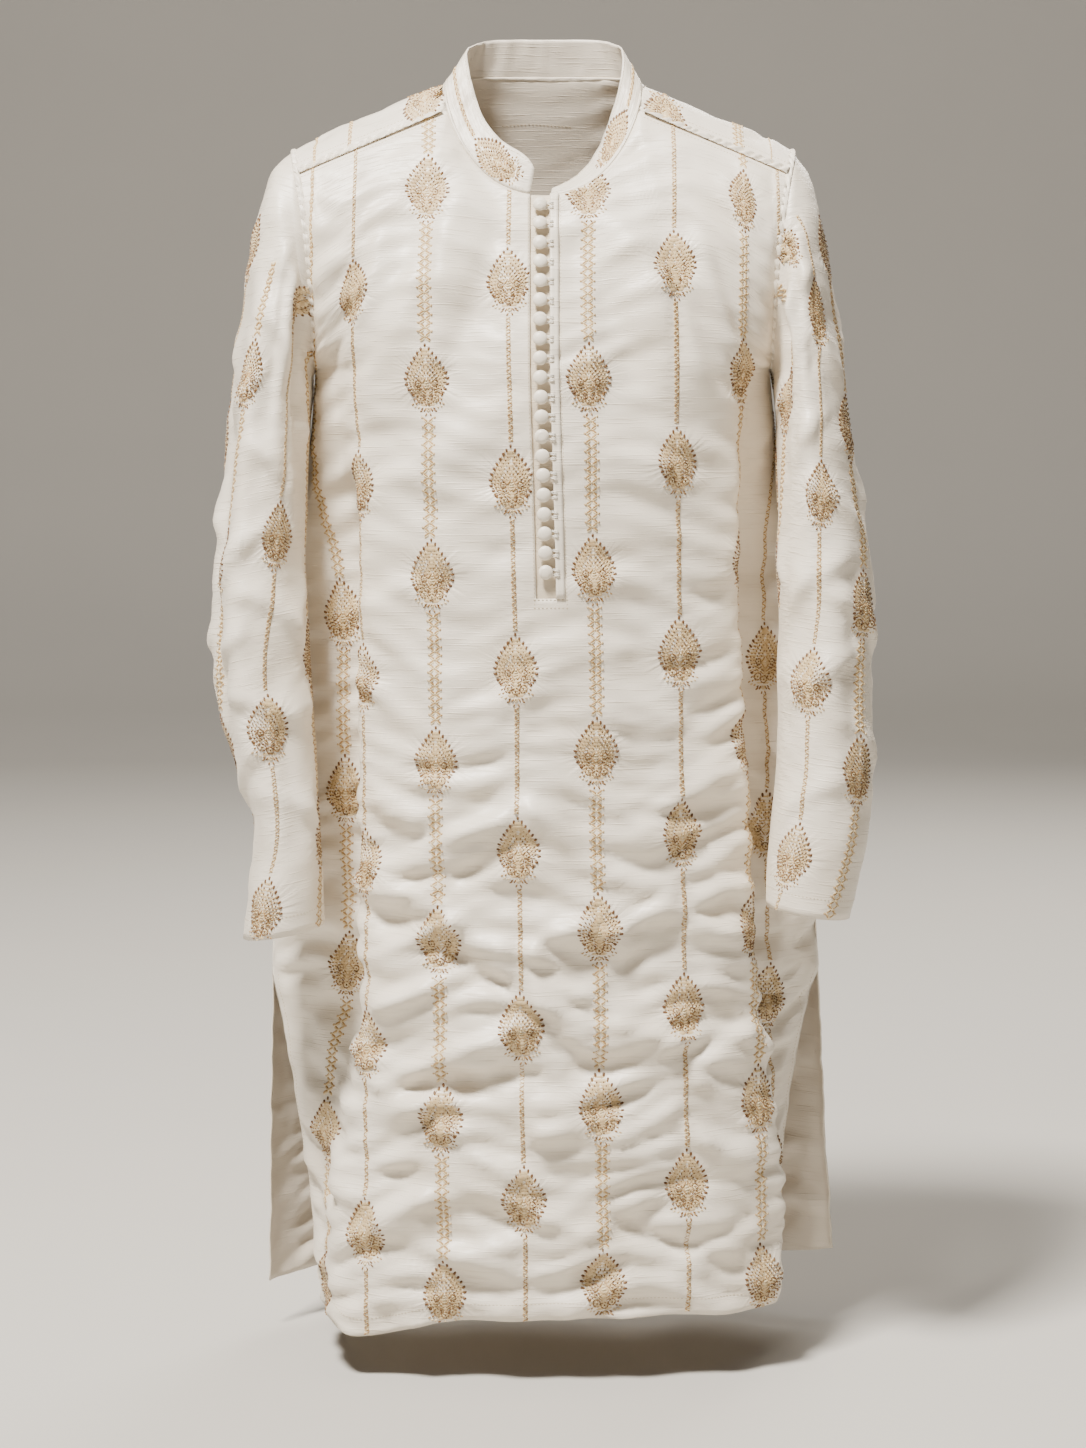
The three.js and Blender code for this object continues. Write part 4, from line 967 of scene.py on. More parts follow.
def sleeve_cloth(hand):
    sign = HANDS[hand]
    front_steps = FRONT_UPPER_ROWS * FINE_UPPER
    back_steps = BACK_UPPER_ROWS * FINE_UPPER
    rest = 2 * math.pi - SHOULDER_SEAM_ANGLE
    angle = np.concatenate([SHOULDER_SEAM_ANGLE * np.arange(front_steps) / front_steps,
                            SHOULDER_SEAM_ANGLE + rest * np.arange(back_steps) / back_steps])
    count = SLEEVE_ROWS * FINE_SLEEVE
    ring = 1 - np.arange(count + 1) / count
    size = {name: at(SLEEVE[hand], ring, name) for name in SLEEVE_NAMES.split()[1:]}
    outer = np.stack([sign * size["out_x"], size["out_y"], -size["out_down"]], -1)
    inner = np.stack([sign * size["in_x"], size["in_y"], -size["in_down"]], -1)
    centre = (outer + inner) / 2
    centre[:, 1] = (size["front"] + size["back"]) / 2
    depth = (size["back"] - size["front"]) / 2
    out = (-np.cos(angle)[None, :, None] * ((outer - inner) / 2)[:, None]
           + np.stack([0 * angle, -np.sin(angle), 0 * angle], -1)[None] * depth[:, None, None])
    rise = np.zeros(out.shape[:2])
    for fold, start, end, height, spread in SLEEVE_FOLDS[hand]:
        along = smooth(ring, start, start + FOLD_FADE) * (1 - smooth(ring, end - FOLD_FADE, end))
        rise += height * along[:, None] * np.exp(-((np.degrees(angle) - fold) / spread) ** 2)
    points = centre[:, None] + out + unit(out) * rise[..., None]
    points[-1] = armhole_points(hand, angle) + (sign * SEAM_GAP, 0, 0)
    wrapped = np.concatenate([points, points[:, :1]], 1)
    crown, facing = (int(np.argmin(np.abs(np.degrees(angle) - turn))) for turn in (178, 100))
    around = run_lengths(wrapped, 1) * sign
    u = around - around[:, crown:crown + 1]
    flat = np.stack([u, run_lengths(wrapped, 0)], -1)
    folded = np.stack([around - around[:, facing:facing + 1], flat[..., 1]], -1)
    straight = flat - flat[..., 1:] * (SLEEVE_LEAN[hand], 0)
    cloth = Cloth(points, flat, sign, closed=True)
    rim = np.stack([0 * angle, -np.sin(angle), -np.cos(angle)], -1)
    cloth.edge_normals = [((-1,), rim)]
    cloth.turn_normals()
    heights = SLEEVE_CREASING * crease_heights(folded, SLEEVE_CREASES[hand]) + SLEEVE_SOFT * noise_heights(
        folded, 8 if hand == "left" else 9, 52, 30)
    heights += SLEEVE_SMALL * noise_heights(folded, 13, 24, 11)
    stiff = 1 - 0.5 * np.minimum(1, column_nearness(straight, SLEEVE_COLUMNS[hand], 9))
    seam = smooth(np.abs(u[0] - u[0, 0]), 0, 20) * smooth(np.abs(u[0] - u[0, -1]), 0, 20)
    heights *= stiff * seam[None]
    heights *= smooth(np.arange(len(points))[::-1][:, None], 0, 8)
    heights *= mix(0.4, 1, smooth(np.arange(len(points))[:, None], 0, 6))
    cloth.pucker, cloth.pull = (grid[:, :-1] for grid in puckers(straight, SLEEVE_COLUMNS[hand]))
    cloth.shift(heights[:, :-1])
    return cloth


# On the sleeves places are counted from the line down from the shoulder, and up from the cuff;
# the columns lean, because the sleeve is twisted a little on its way down
SLEEVE_COLUMNS = {
    "left": ((40, "narrow", (24, 179, 342, 548)), (-32, "wide", (12, 170, 329, 488)),
             (104, "wide", (79, 235)), (-104, "narrow", (123, 283, 443, 603)),
             (-176, "wide", (60, 215, 372, 530, 680)), (-248, "narrow", (300, 460, 610)),
             (-320, "wide", (520, 680))),
    "right": ((-100, "narrow", (48, 200, 363, 522)), (-48, "wide", (129, 273, 427, 585)),
              (26, "narrow", (60, 215, 372, 530)), (98, "wide", (130, 285, 445, 600)),
              (170, "narrow", (210, 370, 530)), (-172, "wide", (130, 285, 440)),
              (-136, "leaves alone", (592,)), (230, "wide", (460, 610))),
}
SLEEVE_LEAN = {"left": 0.22, "right": 0.03}
SLEEVE_LINE_TOP = {"left": 585, "right": 612}


def collar_cloth():
    """The band collar: on its flat cut it runs round the neck from the left front end, and up."""
    ends = (-OPENING_HALF - 2.5, OPENING_HALF - 2.5)
    around = NECK.total - (ends[1] - ends[0])
    s = np.linspace(0, around, 150)
    base = NECK.at(ends[0] - s)
    levels = np.linspace(0, 1, 13)[:, None]
    rise = unit(np.stack([at(COLLAR_RISE, s / around, c) for c in "xyz"], -1))
    end = 1 - 0.38 * (np.exp(-s / 8) + np.exp(-(around - s) / 8))
    height = mix(COLLAR_SEAT, COLLAR_HEIGHT * end[None], levels)
    points = base[None] + rise[None] * height[..., None]
    flat = np.stack([np.tile(s, (len(levels), 1)), height], -1)
    cloth = Cloth(points, flat, -1)
    cloth.edge_normals = [((0,), neck_normal(base))]
    cloth.turn_normals()
    heights = 1.4 * noise_heights(flat, 17, 26, 30) + 1.0 * noise_heights(flat, 19, 8, 30)
    cloth.shift(heights * smooth(levels, 0, 0.35))
    cloth.pucker[..., 0] = 0.25
    return cloth


def strip_cloth(front, from_column, to_column, from_level):
    """A strip on the front's own points between two columns, from a level up to the neck."""
    level = -front.points[:, front.points.shape[1] // 2, 2]
    rows = level < from_level
    columns = slice(from_column, to_column + 1)
    strip = Cloth(front.points[rows, columns], front.flat[rows, columns], front.flip)
    strip.edge_normals = [((Ellipsis,), front.normals[rows, columns])]
    strip.turn_normals()
    return strip


CLOTHS = {}


def cloth_of(name):
    """Each piece of cloth is worked out once, and then shared by what is sewn to it."""
    if name not in CLOTHS:
        if name in ("front", "back"):
            CLOTHS[name] = panel_cloth(name)
        elif name == "collar":
            CLOTHS[name] = collar_cloth()
        else:
            CLOTHS[name] = sleeve_cloth(name.split("_")[1])
    return CLOTHS[name]


def linear(hex_colour):
    """An sRGB hex colour as linear red, green and blue."""
    parts = [int(hex_colour[k:k + 2], 16) / 255 for k in (1, 3, 5)]
    return [p / 12.92 if p <= 0.04045 else ((p + 0.055) / 1.055) ** 2.4 for p in parts]


def add_node(tree, kind, settings=None, **links):
    """Adds a node; settings are its properties or unlinked sockets, links feed its inputs."""
    node = tree.nodes.new(kind)
    for name, value in (settings or {}).items():
        if isinstance(name, int) or name in node.inputs:
            node.inputs[name].default_value = value
        else:
            setattr(node, name, value)
    for name, source in links.items():
        socket = int(name[2:]) if name.startswith("in") else name
        tree.links.new(source, node.inputs[socket])
    return node


def new_material(name, settings):
    material = bpy.data.materials.new(name)
    material.use_nodes = True
    tree = material.node_tree
    tree.nodes.clear()
    shader = add_node(tree, "ShaderNodeBsdfPrincipled", settings)
    output = add_node(tree, "ShaderNodeOutputMaterial")
    tree.links.new(shader.outputs["BSDF"], output.inputs["Surface"])
    return material, tree, shader


def silk_material(name, colours, coords, sheen, pucker):
    """Hand-woven dupion silk: crisp plain weave with thick slubs along the weft and a soft lustre."""
    material, tree, shader = new_material(name, {
        "Sheen Weight": sheen, "Sheen Roughness": 0.35, "Sheen Tint": (*colours[0], 1),
        "IOR": 1.5, "Specular IOR Level": 0.6,
    })
    where = add_node(tree, "ShaderNodeUVMap", {"uv_map": "flat cut"}).outputs["UV"] \
        if coords == "UV" else add_node(tree, "ShaderNodeTexCoord").outputs["Object"]
    # slubs: thick places in the weft about 1.6 mm high and 45 mm long
    slub_at = add_node(tree, "ShaderNodeMapping", {"Scale": (22, 620, 22)}, Vector=where)
    slub = add_node(tree, "ShaderNodeTexNoise", {"Scale": 1, "Detail": 2, "Roughness": 0.55},
                    Vector=slub_at.outputs["Vector"])
    slub_mask = add_node(tree, "ShaderNodeMapRange", {"From Min": 0.56, "From Max": 0.74},
                         Value=slub.outputs["Fac"])
    # threads: drawn at 1.1 mm, twice as coarse as the real ones, so that they show at all
    weave_at = add_node(tree, "ShaderNodeMapping", {"Scale": (240, 900, 240)}, Vector=where)
    weave = add_node(tree, "ShaderNodeTexNoise", {"Scale": 1, "Detail": 1, "Roughness": 0.5},
                     Vector=weave_at.outputs["Vector"])
    cloud = add_node(tree, "ShaderNodeTexNoise", {"Scale": 14, "Detail": 2}, Vector=where)
    tint = add_node(tree, "ShaderNodeMath", {"operation": "MULTIPLY_ADD", 1: 0.35},
                    in0=slub_mask.outputs["Result"], in2=cloud.outputs["Fac"])
    ramp = add_node(tree, "ShaderNodeValToRGB", None, Fac=tint.outputs["Value"])
    ramp.color_ramp.elements[0].position = 0.3
    ramp.color_ramp.elements[0].color = (*colours[0], 1)
    ramp.color_ramp.elements[1].position = 0.95
    ramp.color_ramp.elements[1].color = (*colours[1], 1)
    tree.links.new(ramp.outputs["Color"], shader.inputs["Base Color"])
    rough = add_node(tree, "ShaderNodeMapRange", {"To Min": 0.34, "To Max": 0.54},
                     Value=weave.outputs["Fac"])
    tree.links.new(rough.outputs["Result"], shader.inputs["Roughness"])
    bump = add_node(tree, "ShaderNodeBump", {"Strength": 0.5, "Distance": 0.0002},
                    Height=weave.outputs["Fac"])
    bump = add_node(tree, "ShaderNodeBump", {"Strength": 0.7, "Distance": 0.0004},
                    Height=slub_mask.outputs["Result"], Normal=bump.outputs["Normal"])
    if pucker:
        # puckers of the sewn lines: 5 mm apart, running along the weft
        share = add_node(tree, "ShaderNodeAttribute", {"attribute_name": "pucker"})
        share = add_node(tree, "ShaderNodeSeparateXYZ", Vector=share.outputs["Vector"])
        line_at = add_node(tree, "ShaderNodeMapping", {"Scale": (75, 210, 75)}, Vector=where)
        # puckers round a leaf: they run away from it on all sides, about 4 mm apart
        leaf_at = add_node(tree, "ShaderNodeAttribute", {"attribute_name": "pull"})
        for source, part, depth in ((line_at, "X", 0.0026), (leaf_at, "Y", 0.0013)):
            ripple = add_node(tree, "ShaderNodeTexNoise", {"Scale": 1, "Detail": 1.5, "Roughness": 0.5},
                              Vector=source.outputs["Vector"])
            height = add_node(tree, "ShaderNodeMath", {"operation": "MULTIPLY"},
                              in0=ripple.outputs["Fac"], in1=share.outputs[part])
            bump = add_node(tree, "ShaderNodeBump", {"Strength": 1.0, "Distance": depth},
                            Height=height.outputs["Value"], Normal=bump.outputs["Normal"])
    tree.links.new(bump.outputs["Normal"], shader.inputs["Normal"])
    return material


def thread_material(name, colours):
    """Mercerised cotton thread in satin stitch: matt gold, from light through middle to dark thread by each
    stitch's tone, set at its two ends.
    """
    material, tree, shader = new_material(name, {
        "Roughness": 0.5, "Sheen Weight": 0.25, "Sheen Roughness": 0.4, "IOR": 1.5,
        "Specular IOR Level": 0.4,
    })
    tone = add_node(tree, "ShaderNodeAttribute", {"attribute_name": "tone"})
    where = add_node(tree, "ShaderNodeTexCoord")
    vary = add_node(tree, "ShaderNodeTexNoise", {"Scale": 320, "Detail": 2}, Vector=where.outputs["Object"])
    mixed = add_node(tree, "ShaderNodeMath", {"operation": "MULTIPLY_ADD", 1: 0.5},
                     in0=vary.outputs["Fac"], in2=tone.outputs["Fac"])
    ramp = add_node(tree, "ShaderNodeValToRGB", None, Fac=mixed.outputs["Value"])
    ramp.color_ramp.elements[0].position = 0.2
    ramp.color_ramp.elements[0].color = (*colours[0], 1)
    ramp.color_ramp.elements[1].position = 1.0
    ramp.color_ramp.elements[1].color = (*colours[2], 1)
    middle = ramp.color_ramp.elements.new(0.7)
    middle.color = (*colours[1], 1)
    tree.links.new(ramp.outputs["Color"], shader.inputs["Base Color"])
    # strands: fine ridges about 0.7 mm apart
    strand = add_node(tree, "ShaderNodeTexNoise", {"Scale": 1400, "Detail": 1},
                      Vector=where.outputs["Object"])
    bump = add_node(tree, "ShaderNodeBump", {"Strength": 0.6, "Distance": 0.0002},
                    Height=strand.outputs["Fac"])
    tree.links.new(bump.outputs["Normal"], shader.inputs["Normal"])
    return material


def material_of(key):
    """Each finish is made once."""
    names = {
        "silk": "slubbed dupion silk", "inside": "dupion silk, wrong side",
        "strip": "dupion silk strip in shade", "button": "dupion silk over a button",
        "thread": "cotton embroidery thread",
        "sewing": "ivory sewing thread", "loop": "rayon loop cord",
    }
    made = bpy.data.materials.get(names[key])
    if made:
        return made
    colours = bpy.context.scene.kurta_colours
    if key in ("silk", "inside", "strip", "button"):
        # the strip's darker colour is painted shade; it fills both ends of its ramp, so the strip shows no
        # slubs
        base = {"inside": colours.inside, "strip": colours.strip}.get(key, colours.silk)
        shade = colours.strip if key == "strip" else colours.slub
        return silk_material(names[key], (tuple(base), tuple(shade)),
                             "Object" if key == "button" else "UV",
                             0.3 if key in ("silk", "button") else 0.12, key == "silk")
    if key == "thread":
        return thread_material(names[key], [tuple(c) for c in (
            colours.thread_light, colours.thread, colours.thread_dark)])
    return thread_material(names[key], [tuple(colours.cord if key == "loop" else colours.sewing)] * 3)


def silk_sides():
    """The right side and the wrong side of the silk."""
    return [material_of("silk"), material_of("inside")]


class KurtaSizes(bpy.types.PropertyGroup):
    """Sizes that a user would change"""

    cloth: FloatProperty(name="Cloth thickness", description="Thickness of the silk in mm",
                         default=1.2, unit="NONE", min=0.4, max=2.0)
    strip_gap: FloatProperty(name="Strip gap", description="Gap between the front and the strip",
                             default=0.3, min=0.1, max=2)
    button_radius: FloatProperty(name="Button radius", description="Half a button's width in mm",
                                 default=6.4, min=2, max=8)
    button_height: FloatProperty(name="Button height", description="Height of a button's dome in mm",
                                 default=8.2, min=2, max=10)
    strand: FloatProperty(name="Loop strand", description="Half the thickness of a strand in mm",
                          default=0.42, min=0.2, max=1)
    seed: IntProperty(name="Stitch seed", description="Draws the unevenness of the stitches",
                      default=7)


def colour_property(name, description, hex_colour):
    return FloatVectorProperty(name=name, description=description, subtype="COLOR", size=3,
                               min=0, max=1, default=linear(hex_colour))


class KurtaColours(bpy.types.PropertyGroup):
    """Colours that a user would change"""

    silk: colour_property("Silk", "Ivory silk in the light", "#F0E7D8")
    slub: colour_property("Slubs", "The thick threads and cloudy places", "#E0D4C1")
    inside: colour_property("Wrong side", "Wrong side of the silk", "#F0E5D5")
    # The strip's colour is the silk darkened with painted shade, for the shade it lies in behind the opening
    strip: colour_property("Strip", "Strip behind the opening, in its own shade", "#DACCB5")
    # The three thread colours are mixed by each stitch's tone, which is set at the stitch's two ends
    thread_light: colour_property("Light thread", "Thread at the middle of a stitch", "#E9D6AC")
    thread: colour_property("Thread", "Beige-gold embroidery thread", "#B08A58")
    thread_dark: colour_property("Dark thread", "Thread where the needle went in", "#664426")
    cord: colour_property("Cord", "Cord of the loops", "#F1EDE4")
    sewing: colour_property("Sewing thread", "Thread of the seams and hems", "#C9B898")
    floor: colour_property("Floor", "Pale studio floor", "#BFBBB4")


class KURTA_OT_front(bpy.types.Operator):
    """Lay the front panel's cloth with its creases"""

    bl_idname = "kurta.front"
    bl_label = "Front panel"

    def execute(self, context):
        cloth = cloth_of("front")
        sizes = context.scene.kurta_sizes
        obj = cloth.shell("front_cloth", sizes.cloth, silk_sides())
        dress(obj, "cloth", "front")
        return {"FINISHED"}


class KURTA_OT_back(bpy.types.Operator):
    """Lay the back panel's cloth with its creases"""

    bl_idname = "kurta.back"
    bl_label = "Back panel"

    def execute(self, context):
        cloth = cloth_of("back")
        sizes = context.scene.kurta_sizes
        obj = cloth.shell("back_cloth", sizes.cloth, silk_sides())
        dress(obj, "cloth", "back")
        return {"FINISHED"}


class KURTA_OT_sleeves(bpy.types.Operator):
    """Lay the cloth of both sleeves"""

    bl_idname = "kurta.sleeves"
    bl_label = "Sleeves"

    def execute(self, context):
        sizes = context.scene.kurta_sizes
        for hand in HANDS:
            cloth = cloth_of(f"sleeve_{hand}")
            obj = cloth.shell(f"sleeve_{hand}_cloth", sizes.cloth,
                              silk_sides())
            dress(obj, "cloth", f"sleeve_{hand}")
        return {"FINISHED"}


class KURTA_OT_collar(bpy.types.Operator):
    """Stand the band collar on the neck seam"""

    bl_idname = "kurta.collar"
    bl_label = "Collar"

    def execute(self, context):
        sizes = context.scene.kurta_sizes
        obj = cloth_of("collar").shell("collar_cloth", sizes.cloth,
                                       silk_sides())
        dress(obj, "cloth", "collar")
        return {"FINISHED"}


class KURTA_OT_placket(bpy.types.Operator):
    """Lay the strip behind the opening and the bound edge beside it"""

    bl_idname = "kurta.placket"
    bl_label = "Placket"

    def execute(self, context):
        sizes = context.scene.kurta_sizes
        front = cloth_of("front")
        middle = front.points.shape[1] // 2
        edge = FINE_FRONT // 2
        reach = edge + FINE_FRONT
        silk = silk_sides()
        strip = strip_cloth(front, middle - reach, middle + reach, PLACKET_END + STRIP_BELOW)
        # the strip's face is silk darkened with painted shade
        strip_silk = [material_of("strip"), material_of("inside")]
        obj = strip.shell("placket_strip_cloth", TRIM_THICKNESS, strip_silk,
                          lift=-sizes.cloth - 2 * sizes.strip_gap)
        dress(obj, "cloth", "placket_strip")
        binding = strip_cloth(front, middle + edge, middle + reach, PLACKET_END + BINDING_BELOW)
        obj = binding.shell("placket_binding_cloth", TRIM_THICKNESS, silk,
                            lift=TRIM_THICKNESS + sizes.strip_gap)
        dress(obj, "cloth", "placket_binding")
        return {"FINISHED"}


def button_seats():
    """Where each button sits, as columns across, up, out and middle."""
    front = cloth_of("front")
    middle = front.points.shape[1] // 2
    edge = FINE_FRONT // 2
    left, right = front.points[:, middle - edge], front.points[:, middle + edge]
    seats = []
    for i in range(BUTTON_COUNT):
        level = -(BUTTON_TOP + BUTTON_PITCH * i)
        a, b = (np.array([np.interp(level, side[:, 2], side[:, k]) for k in range(3)])
                for side in (left, right))
        c, d = (np.array([np.interp(level + 12, side[:, 2], side[:, k]) for k in range(3)])
                for side in (left, right))
        across = unit(b - a)
        out = unit(np.cross(across, (c + d) - (a + b)))
        seats.append((across, np.cross(out, across), out, (a + b) / 2))
    return seats


def clear_selection():
    if bpy.context.object and bpy.context.object.mode != "OBJECT":
        bpy.ops.object.mode_set(mode="OBJECT")
    bpy.ops.object.select_all(action="DESELECT")


def select_vertices(obj, test):
    """Selects in edit mode the vertices whose place passes a test."""
    bpy.ops.mesh.select_all(action="DESELECT")
    bpy.ops.object.mode_set(mode="OBJECT")
    for vertex in obj.data.vertices:
        vertex.select = bool(test(vertex.co))
    bpy.ops.object.mode_set(mode="EDIT")


class KURTA_OT_buttons(bpy.types.Operator):
    """Model one cloth-covered dome button and sew its copies down the opening"""

    bl_idname = "kurta.buttons"
    bl_label = "Buttons"

    def execute(self, context):
        sizes = context.scene.kurta_sizes
        radius = sizes.button_radius * MM
        height = sizes.button_height * MM
        ball = BALL_SHARE * height
        clear_selection()
        bpy.ops.mesh.primitive_uv_sphere_add(segments=20, ring_count=12, radius=radius)
        button = context.object
        bpy.ops.object.mode_set(mode="EDIT")
        bpy.ops.mesh.select_all(action="SELECT")
        bpy.ops.transform.resize(value=(1, 1, ball / radius))
        # gathers: every second point low on the side is drawn in, where the cloth is tied
        select_vertices(button, lambda co: -0.9 * ball < co.z < -0.2 * ball
                        and round(math.degrees(math.atan2(co.y, co.x)) / 18) % 2 == 0)
        bpy.ops.transform.resize(value=(0.93, 0.93, 1))
        # the stem: the bottom of the ball is drawn out to the strip
        select_vertices(button, lambda co: co.z < -0.92 * ball)
        bpy.ops.mesh.extrude_region_move(TRANSFORM_OT_translate={"value": (0, 0, -STEM_SHARE * height)})
        bpy.ops.mesh.select_all(action="SELECT")
        bpy.ops.transform.translate(value=(0, 0, height - ball))
        bpy.ops.object.mode_set(mode="OBJECT")
        bpy.ops.object.modifier_add(type="SUBSURF")
        button.modifiers[-1].levels = 1
        button.modifiers[-1].render_levels = 1
        bpy.ops.object.modifier_apply(modifier=button.modifiers[-1].name)
        bpy.ops.object.shade_smooth()
        button.data.materials.append(material_of("button"))
        for i, (across, up, out, middle) in enumerate(button_seats()):
            copy = button.copy()
            copy.data = button.data.copy()
            copy.name = f"covered_button_{i + 1:02d}"
            context.scene.collection.objects.link(copy)
            foot = middle - out * NODE_CLOTH
            place = Matrix([[across[k], up[k], out[k], foot[k] * MM] for k in range(3)] + [[0, 0, 0, 1]])
            copy.data.transform(place)
            dress(copy, "button", f"button_{i + 1:02d}")
        bpy.data.objects.remove(button)
        return {"FINISHED"}


def rings_mesh(name, rings, material, closed=False):
    """One mesh of round or ridged bands; each is a stack of rings of points, capped unless closed."""
    points, faces = [], []
    start = 0
    for stack in rings:
        count, sides = stack.shape[:2]
        for i in range(count if closed else count - 1):
            for k in range(sides):
                a = start + i * sides + k
                b = start + i * sides + (k + 1) % sides
                c = start + (i + 1) % count * sides + (k + 1) % sides
                d = start + (i + 1) % count * sides + k
                faces.append((a, b, c, d))
        if not closed:
            faces.append([start + k for k in reversed(range(sides))])
            faces.append([start + (count - 1) * sides + k for k in range(sides)])
        points.append(stack.reshape(-1, 3))
        start += count * sides
    return mesh_object(name, np.concatenate(points), faces, [material])


def cord_rings(path, radius, sides):
    """Rings of a round cord along a path."""
    path = np.array(path, float)
    way = unit(np.gradient(path, axis=0))
    side = unit(np.cross(way, (0.1, 0.97, 0.2)))
    up = np.cross(way, side)
    turn = 2 * math.pi * np.arange(sides) / sides
    return (path[:, None] + radius * (np.cos(turn)[None, :, None] * side[:, None]
                                      + np.sin(turn)[None, :, None] * up[:, None]))


def welt(name, path, normals, half_width, height, pitch, closed=False, ripple=0.55):
    """A puckered ridge of cloth along a seam, with its flat cut as UV."""
    ahead = np.roll(path, -1, 0) - np.roll(path, 1, 0) if closed else np.gradient(path, axis=0)
    across = unit(np.cross(unit(ahead), normals))
    run = run_lengths(path[None], 1)[0]
    turn = np.linspace(0, math.pi, 8)
    offset = half_width * np.cos(turn)
    uneven = np.array([noise.noise((value / 17, 0.5, half_width)) for value in run])
    phase = 2 * math.pi * (run[:, None] + 0.8 * offset[None]) / pitch + 5 * uneven[:, None]
    rise = height * np.sin(turn) * (1 - ripple + ripple * np.sin(phase)) - 0.5
    ring = path[:, None] + across[:, None] * offset[:, None] + normals[:, None] * rise[..., None]
    obj = rings_mesh(name, [ring], material_of("silk"), closed)
    corners = np.zeros(len(obj.data.loops), np.int32)
    obj.data.loops.foreach_get("vertex_index", corners)
    flat = np.stack(np.broadcast_arrays(run[:, None], offset[None]), -1).reshape(-1, 2) * MM
    uv = obj.data.uv_layers.new(name="flat cut")
    uv.data.foreach_set("uv", flat[corners].astype(np.float32).ravel())
    vertex_values(obj, "pucker", np.tile((0.5, 0, 0), (len(flat), 1)))
    return dress(obj, "cloth")


class KURTA_OT_loops(bpy.types.Operator):
    """Run a two-strand loop from the bound edge round each button's stem"""

    bl_idname = "kurta.loops"
    bl_label = "Loops"

    def execute(self, context):
        sizes = context.scene.kurta_sizes
        for i, (across, up, out, middle) in enumerate(button_seats()):
            rings = []
            for k, reach in enumerate((BUTTON_STEM + 0.6, BUTTON_STEM + 1.4)):
                angle = np.linspace(0.58, -0.58, 13) * math.pi
                sewn = np.array([OPENING_HALF + 3.0, OPENING_HALF + 1.0, OPENING_HALF - 0.8, 6.2])
                spread = np.array([1.1, 1.3, 1.6, 1.9]) + k * np.array([1.4, 1.3, 1.1, 1.0])
                x = np.concatenate([sewn, -reach * np.cos(angle), sewn[::-1]])
                y = np.concatenate([spread, reach * np.sin(angle), -spread[::-1]])
                lift = LOOP_LEVEL + 0.2 * np.cos(np.arange(len(x)) * 0.9 + i + 2 * k)
                over = np.array([2.7, 3.0, 2.0, 0.4])
                lift[:4] += over
                lift[-4:] += over[::-1]
                path = middle + x[:, None] * across + y[:, None] * up + lift[:, None] * out
                rings.append(cord_rings(path, sizes.strand, 7))
            obj = rings_mesh(f"cord_loop_{i + 1:02d}", rings, material_of("loop"))
            dress(obj, "loop", f"loop_{i + 1:02d}")
        return {"FINISHED"}


class KURTA_OT_seams(bpy.types.Operator):
    """Raise the puckered seams of the shoulders, armholes and neck"""

    bl_idname = "kurta.seams"
    bl_label = "Seams"

    def execute(self, context):
        for hand in HANDS:
            path, normals = shoulder_seam(hand, np.linspace(0.03, 0.99, 110))
            welt(f"shoulder_seam_{hand}", path + normals * 1.0, normals, 4.8, 2.8, 9.5)
            angle = np.linspace(0, 2 * math.pi, 220, endpoint=False)
            path = armhole_points(hand, angle)
            out = np.stack([0 * angle, -np.sin(angle), -np.cos(angle)], -1)
            welt(f"armhole_seam_{hand}", path + out * 0.4, out, 2.8, 2.2, 11, closed=True)
        length = np.linspace(OPENING_HALF + 4, NECK.total - OPENING_HALF - 4, 160)
        path = NECK.at(length)
        inside = -neck_normal(path)
        welt("neck_seam_inside", path + inside * 1.5 + (0, 0, 0.9), inside, 2.6, 1.3, 16, ripple=0.1)
        return {"FINISHED"}


class KURTA_OT_topstitching(bpy.types.Operator):
    """Sew the rows of machine stitches at hems, slits, cuffs, collar, shoulders and placket"""

    bl_idname = "kurta.topstitching"
    bl_label = "Topstitching"

    def execute(self, context):
        thread = material_of("sewing")
        cloth_depth = context.scene.kurta_sizes.cloth
        for panel in ("front", "back"):
            cloth = cloth_of(panel)
            flat = cloth.flat
            rows = [sewn_row(flat[0, 3:-3] - (0, 15))]
            open_rows = flat[:, 0, 1] > SLIT_TOP + 3
            for j, inward in ((0, 12), (-1, -12)):
                rows.append(sewn_row(flat[open_rows, j][4:] + (inward, 0)))
            for side in (flat[-3, :, 0] < 0, flat[-3, :, 0] > 0):
                rows.append(sewn_row(flat[-3][cloth.shoulder & side]))
            if panel == "front":
                top = flat[-1, flat.shape[1] // 2, 1] + 4
                left, right = -OPENING_HALF - 1.6, OPENING_HALF + BINDING_WIDTH + 1.5
                rows.append(sewn_row([(left, top), (left, PLACKET_END + 9)]))
                rows.append(sewn_row([(right, top), (right, PLACKET_END + 9)]))
                for level in (2, 9):
                    rows.append(sewn_row([(left, PLACKET_END + level), (right, PLACKET_END + level)]))
            dress(stitches_object(f"{panel}_topstitching", cloth, np.concatenate(rows), thread), "cloth")
        middle = flat.shape[1] // 2
        low = flat[-1, middle, 1] + 40
        tuck = [(-36, low), (-10, low - 1.5), (24, low + 1)]
        inner = stitches_object("back_inside_stitches", cloth, sewn_row(tuck), thread,
                                lift=cloth_depth, side=-1)
        dress(inner, "cloth")
        for hand in HANDS:
            cloth = cloth_of(f"sleeve_{hand}")
            ends = (cloth.flat[4, 1, 0], cloth.flat[4, -2, 0])
            row = sewn_row([(ends[0], 17), (ends[1], 17)])
            dress(stitches_object(f"cuff_{hand}_topstitching", cloth, row, thread), "cloth")
        flat = cloth_of("collar").flat
        rows = np.concatenate([sewn_row(flat[1, 2:-2]), sewn_row(flat[-2, 2:-2])])
        dress(stitches_object("collar_topstitching", cloth_of("collar"), rows, thread), "cloth")
        return {"FINISHED"}


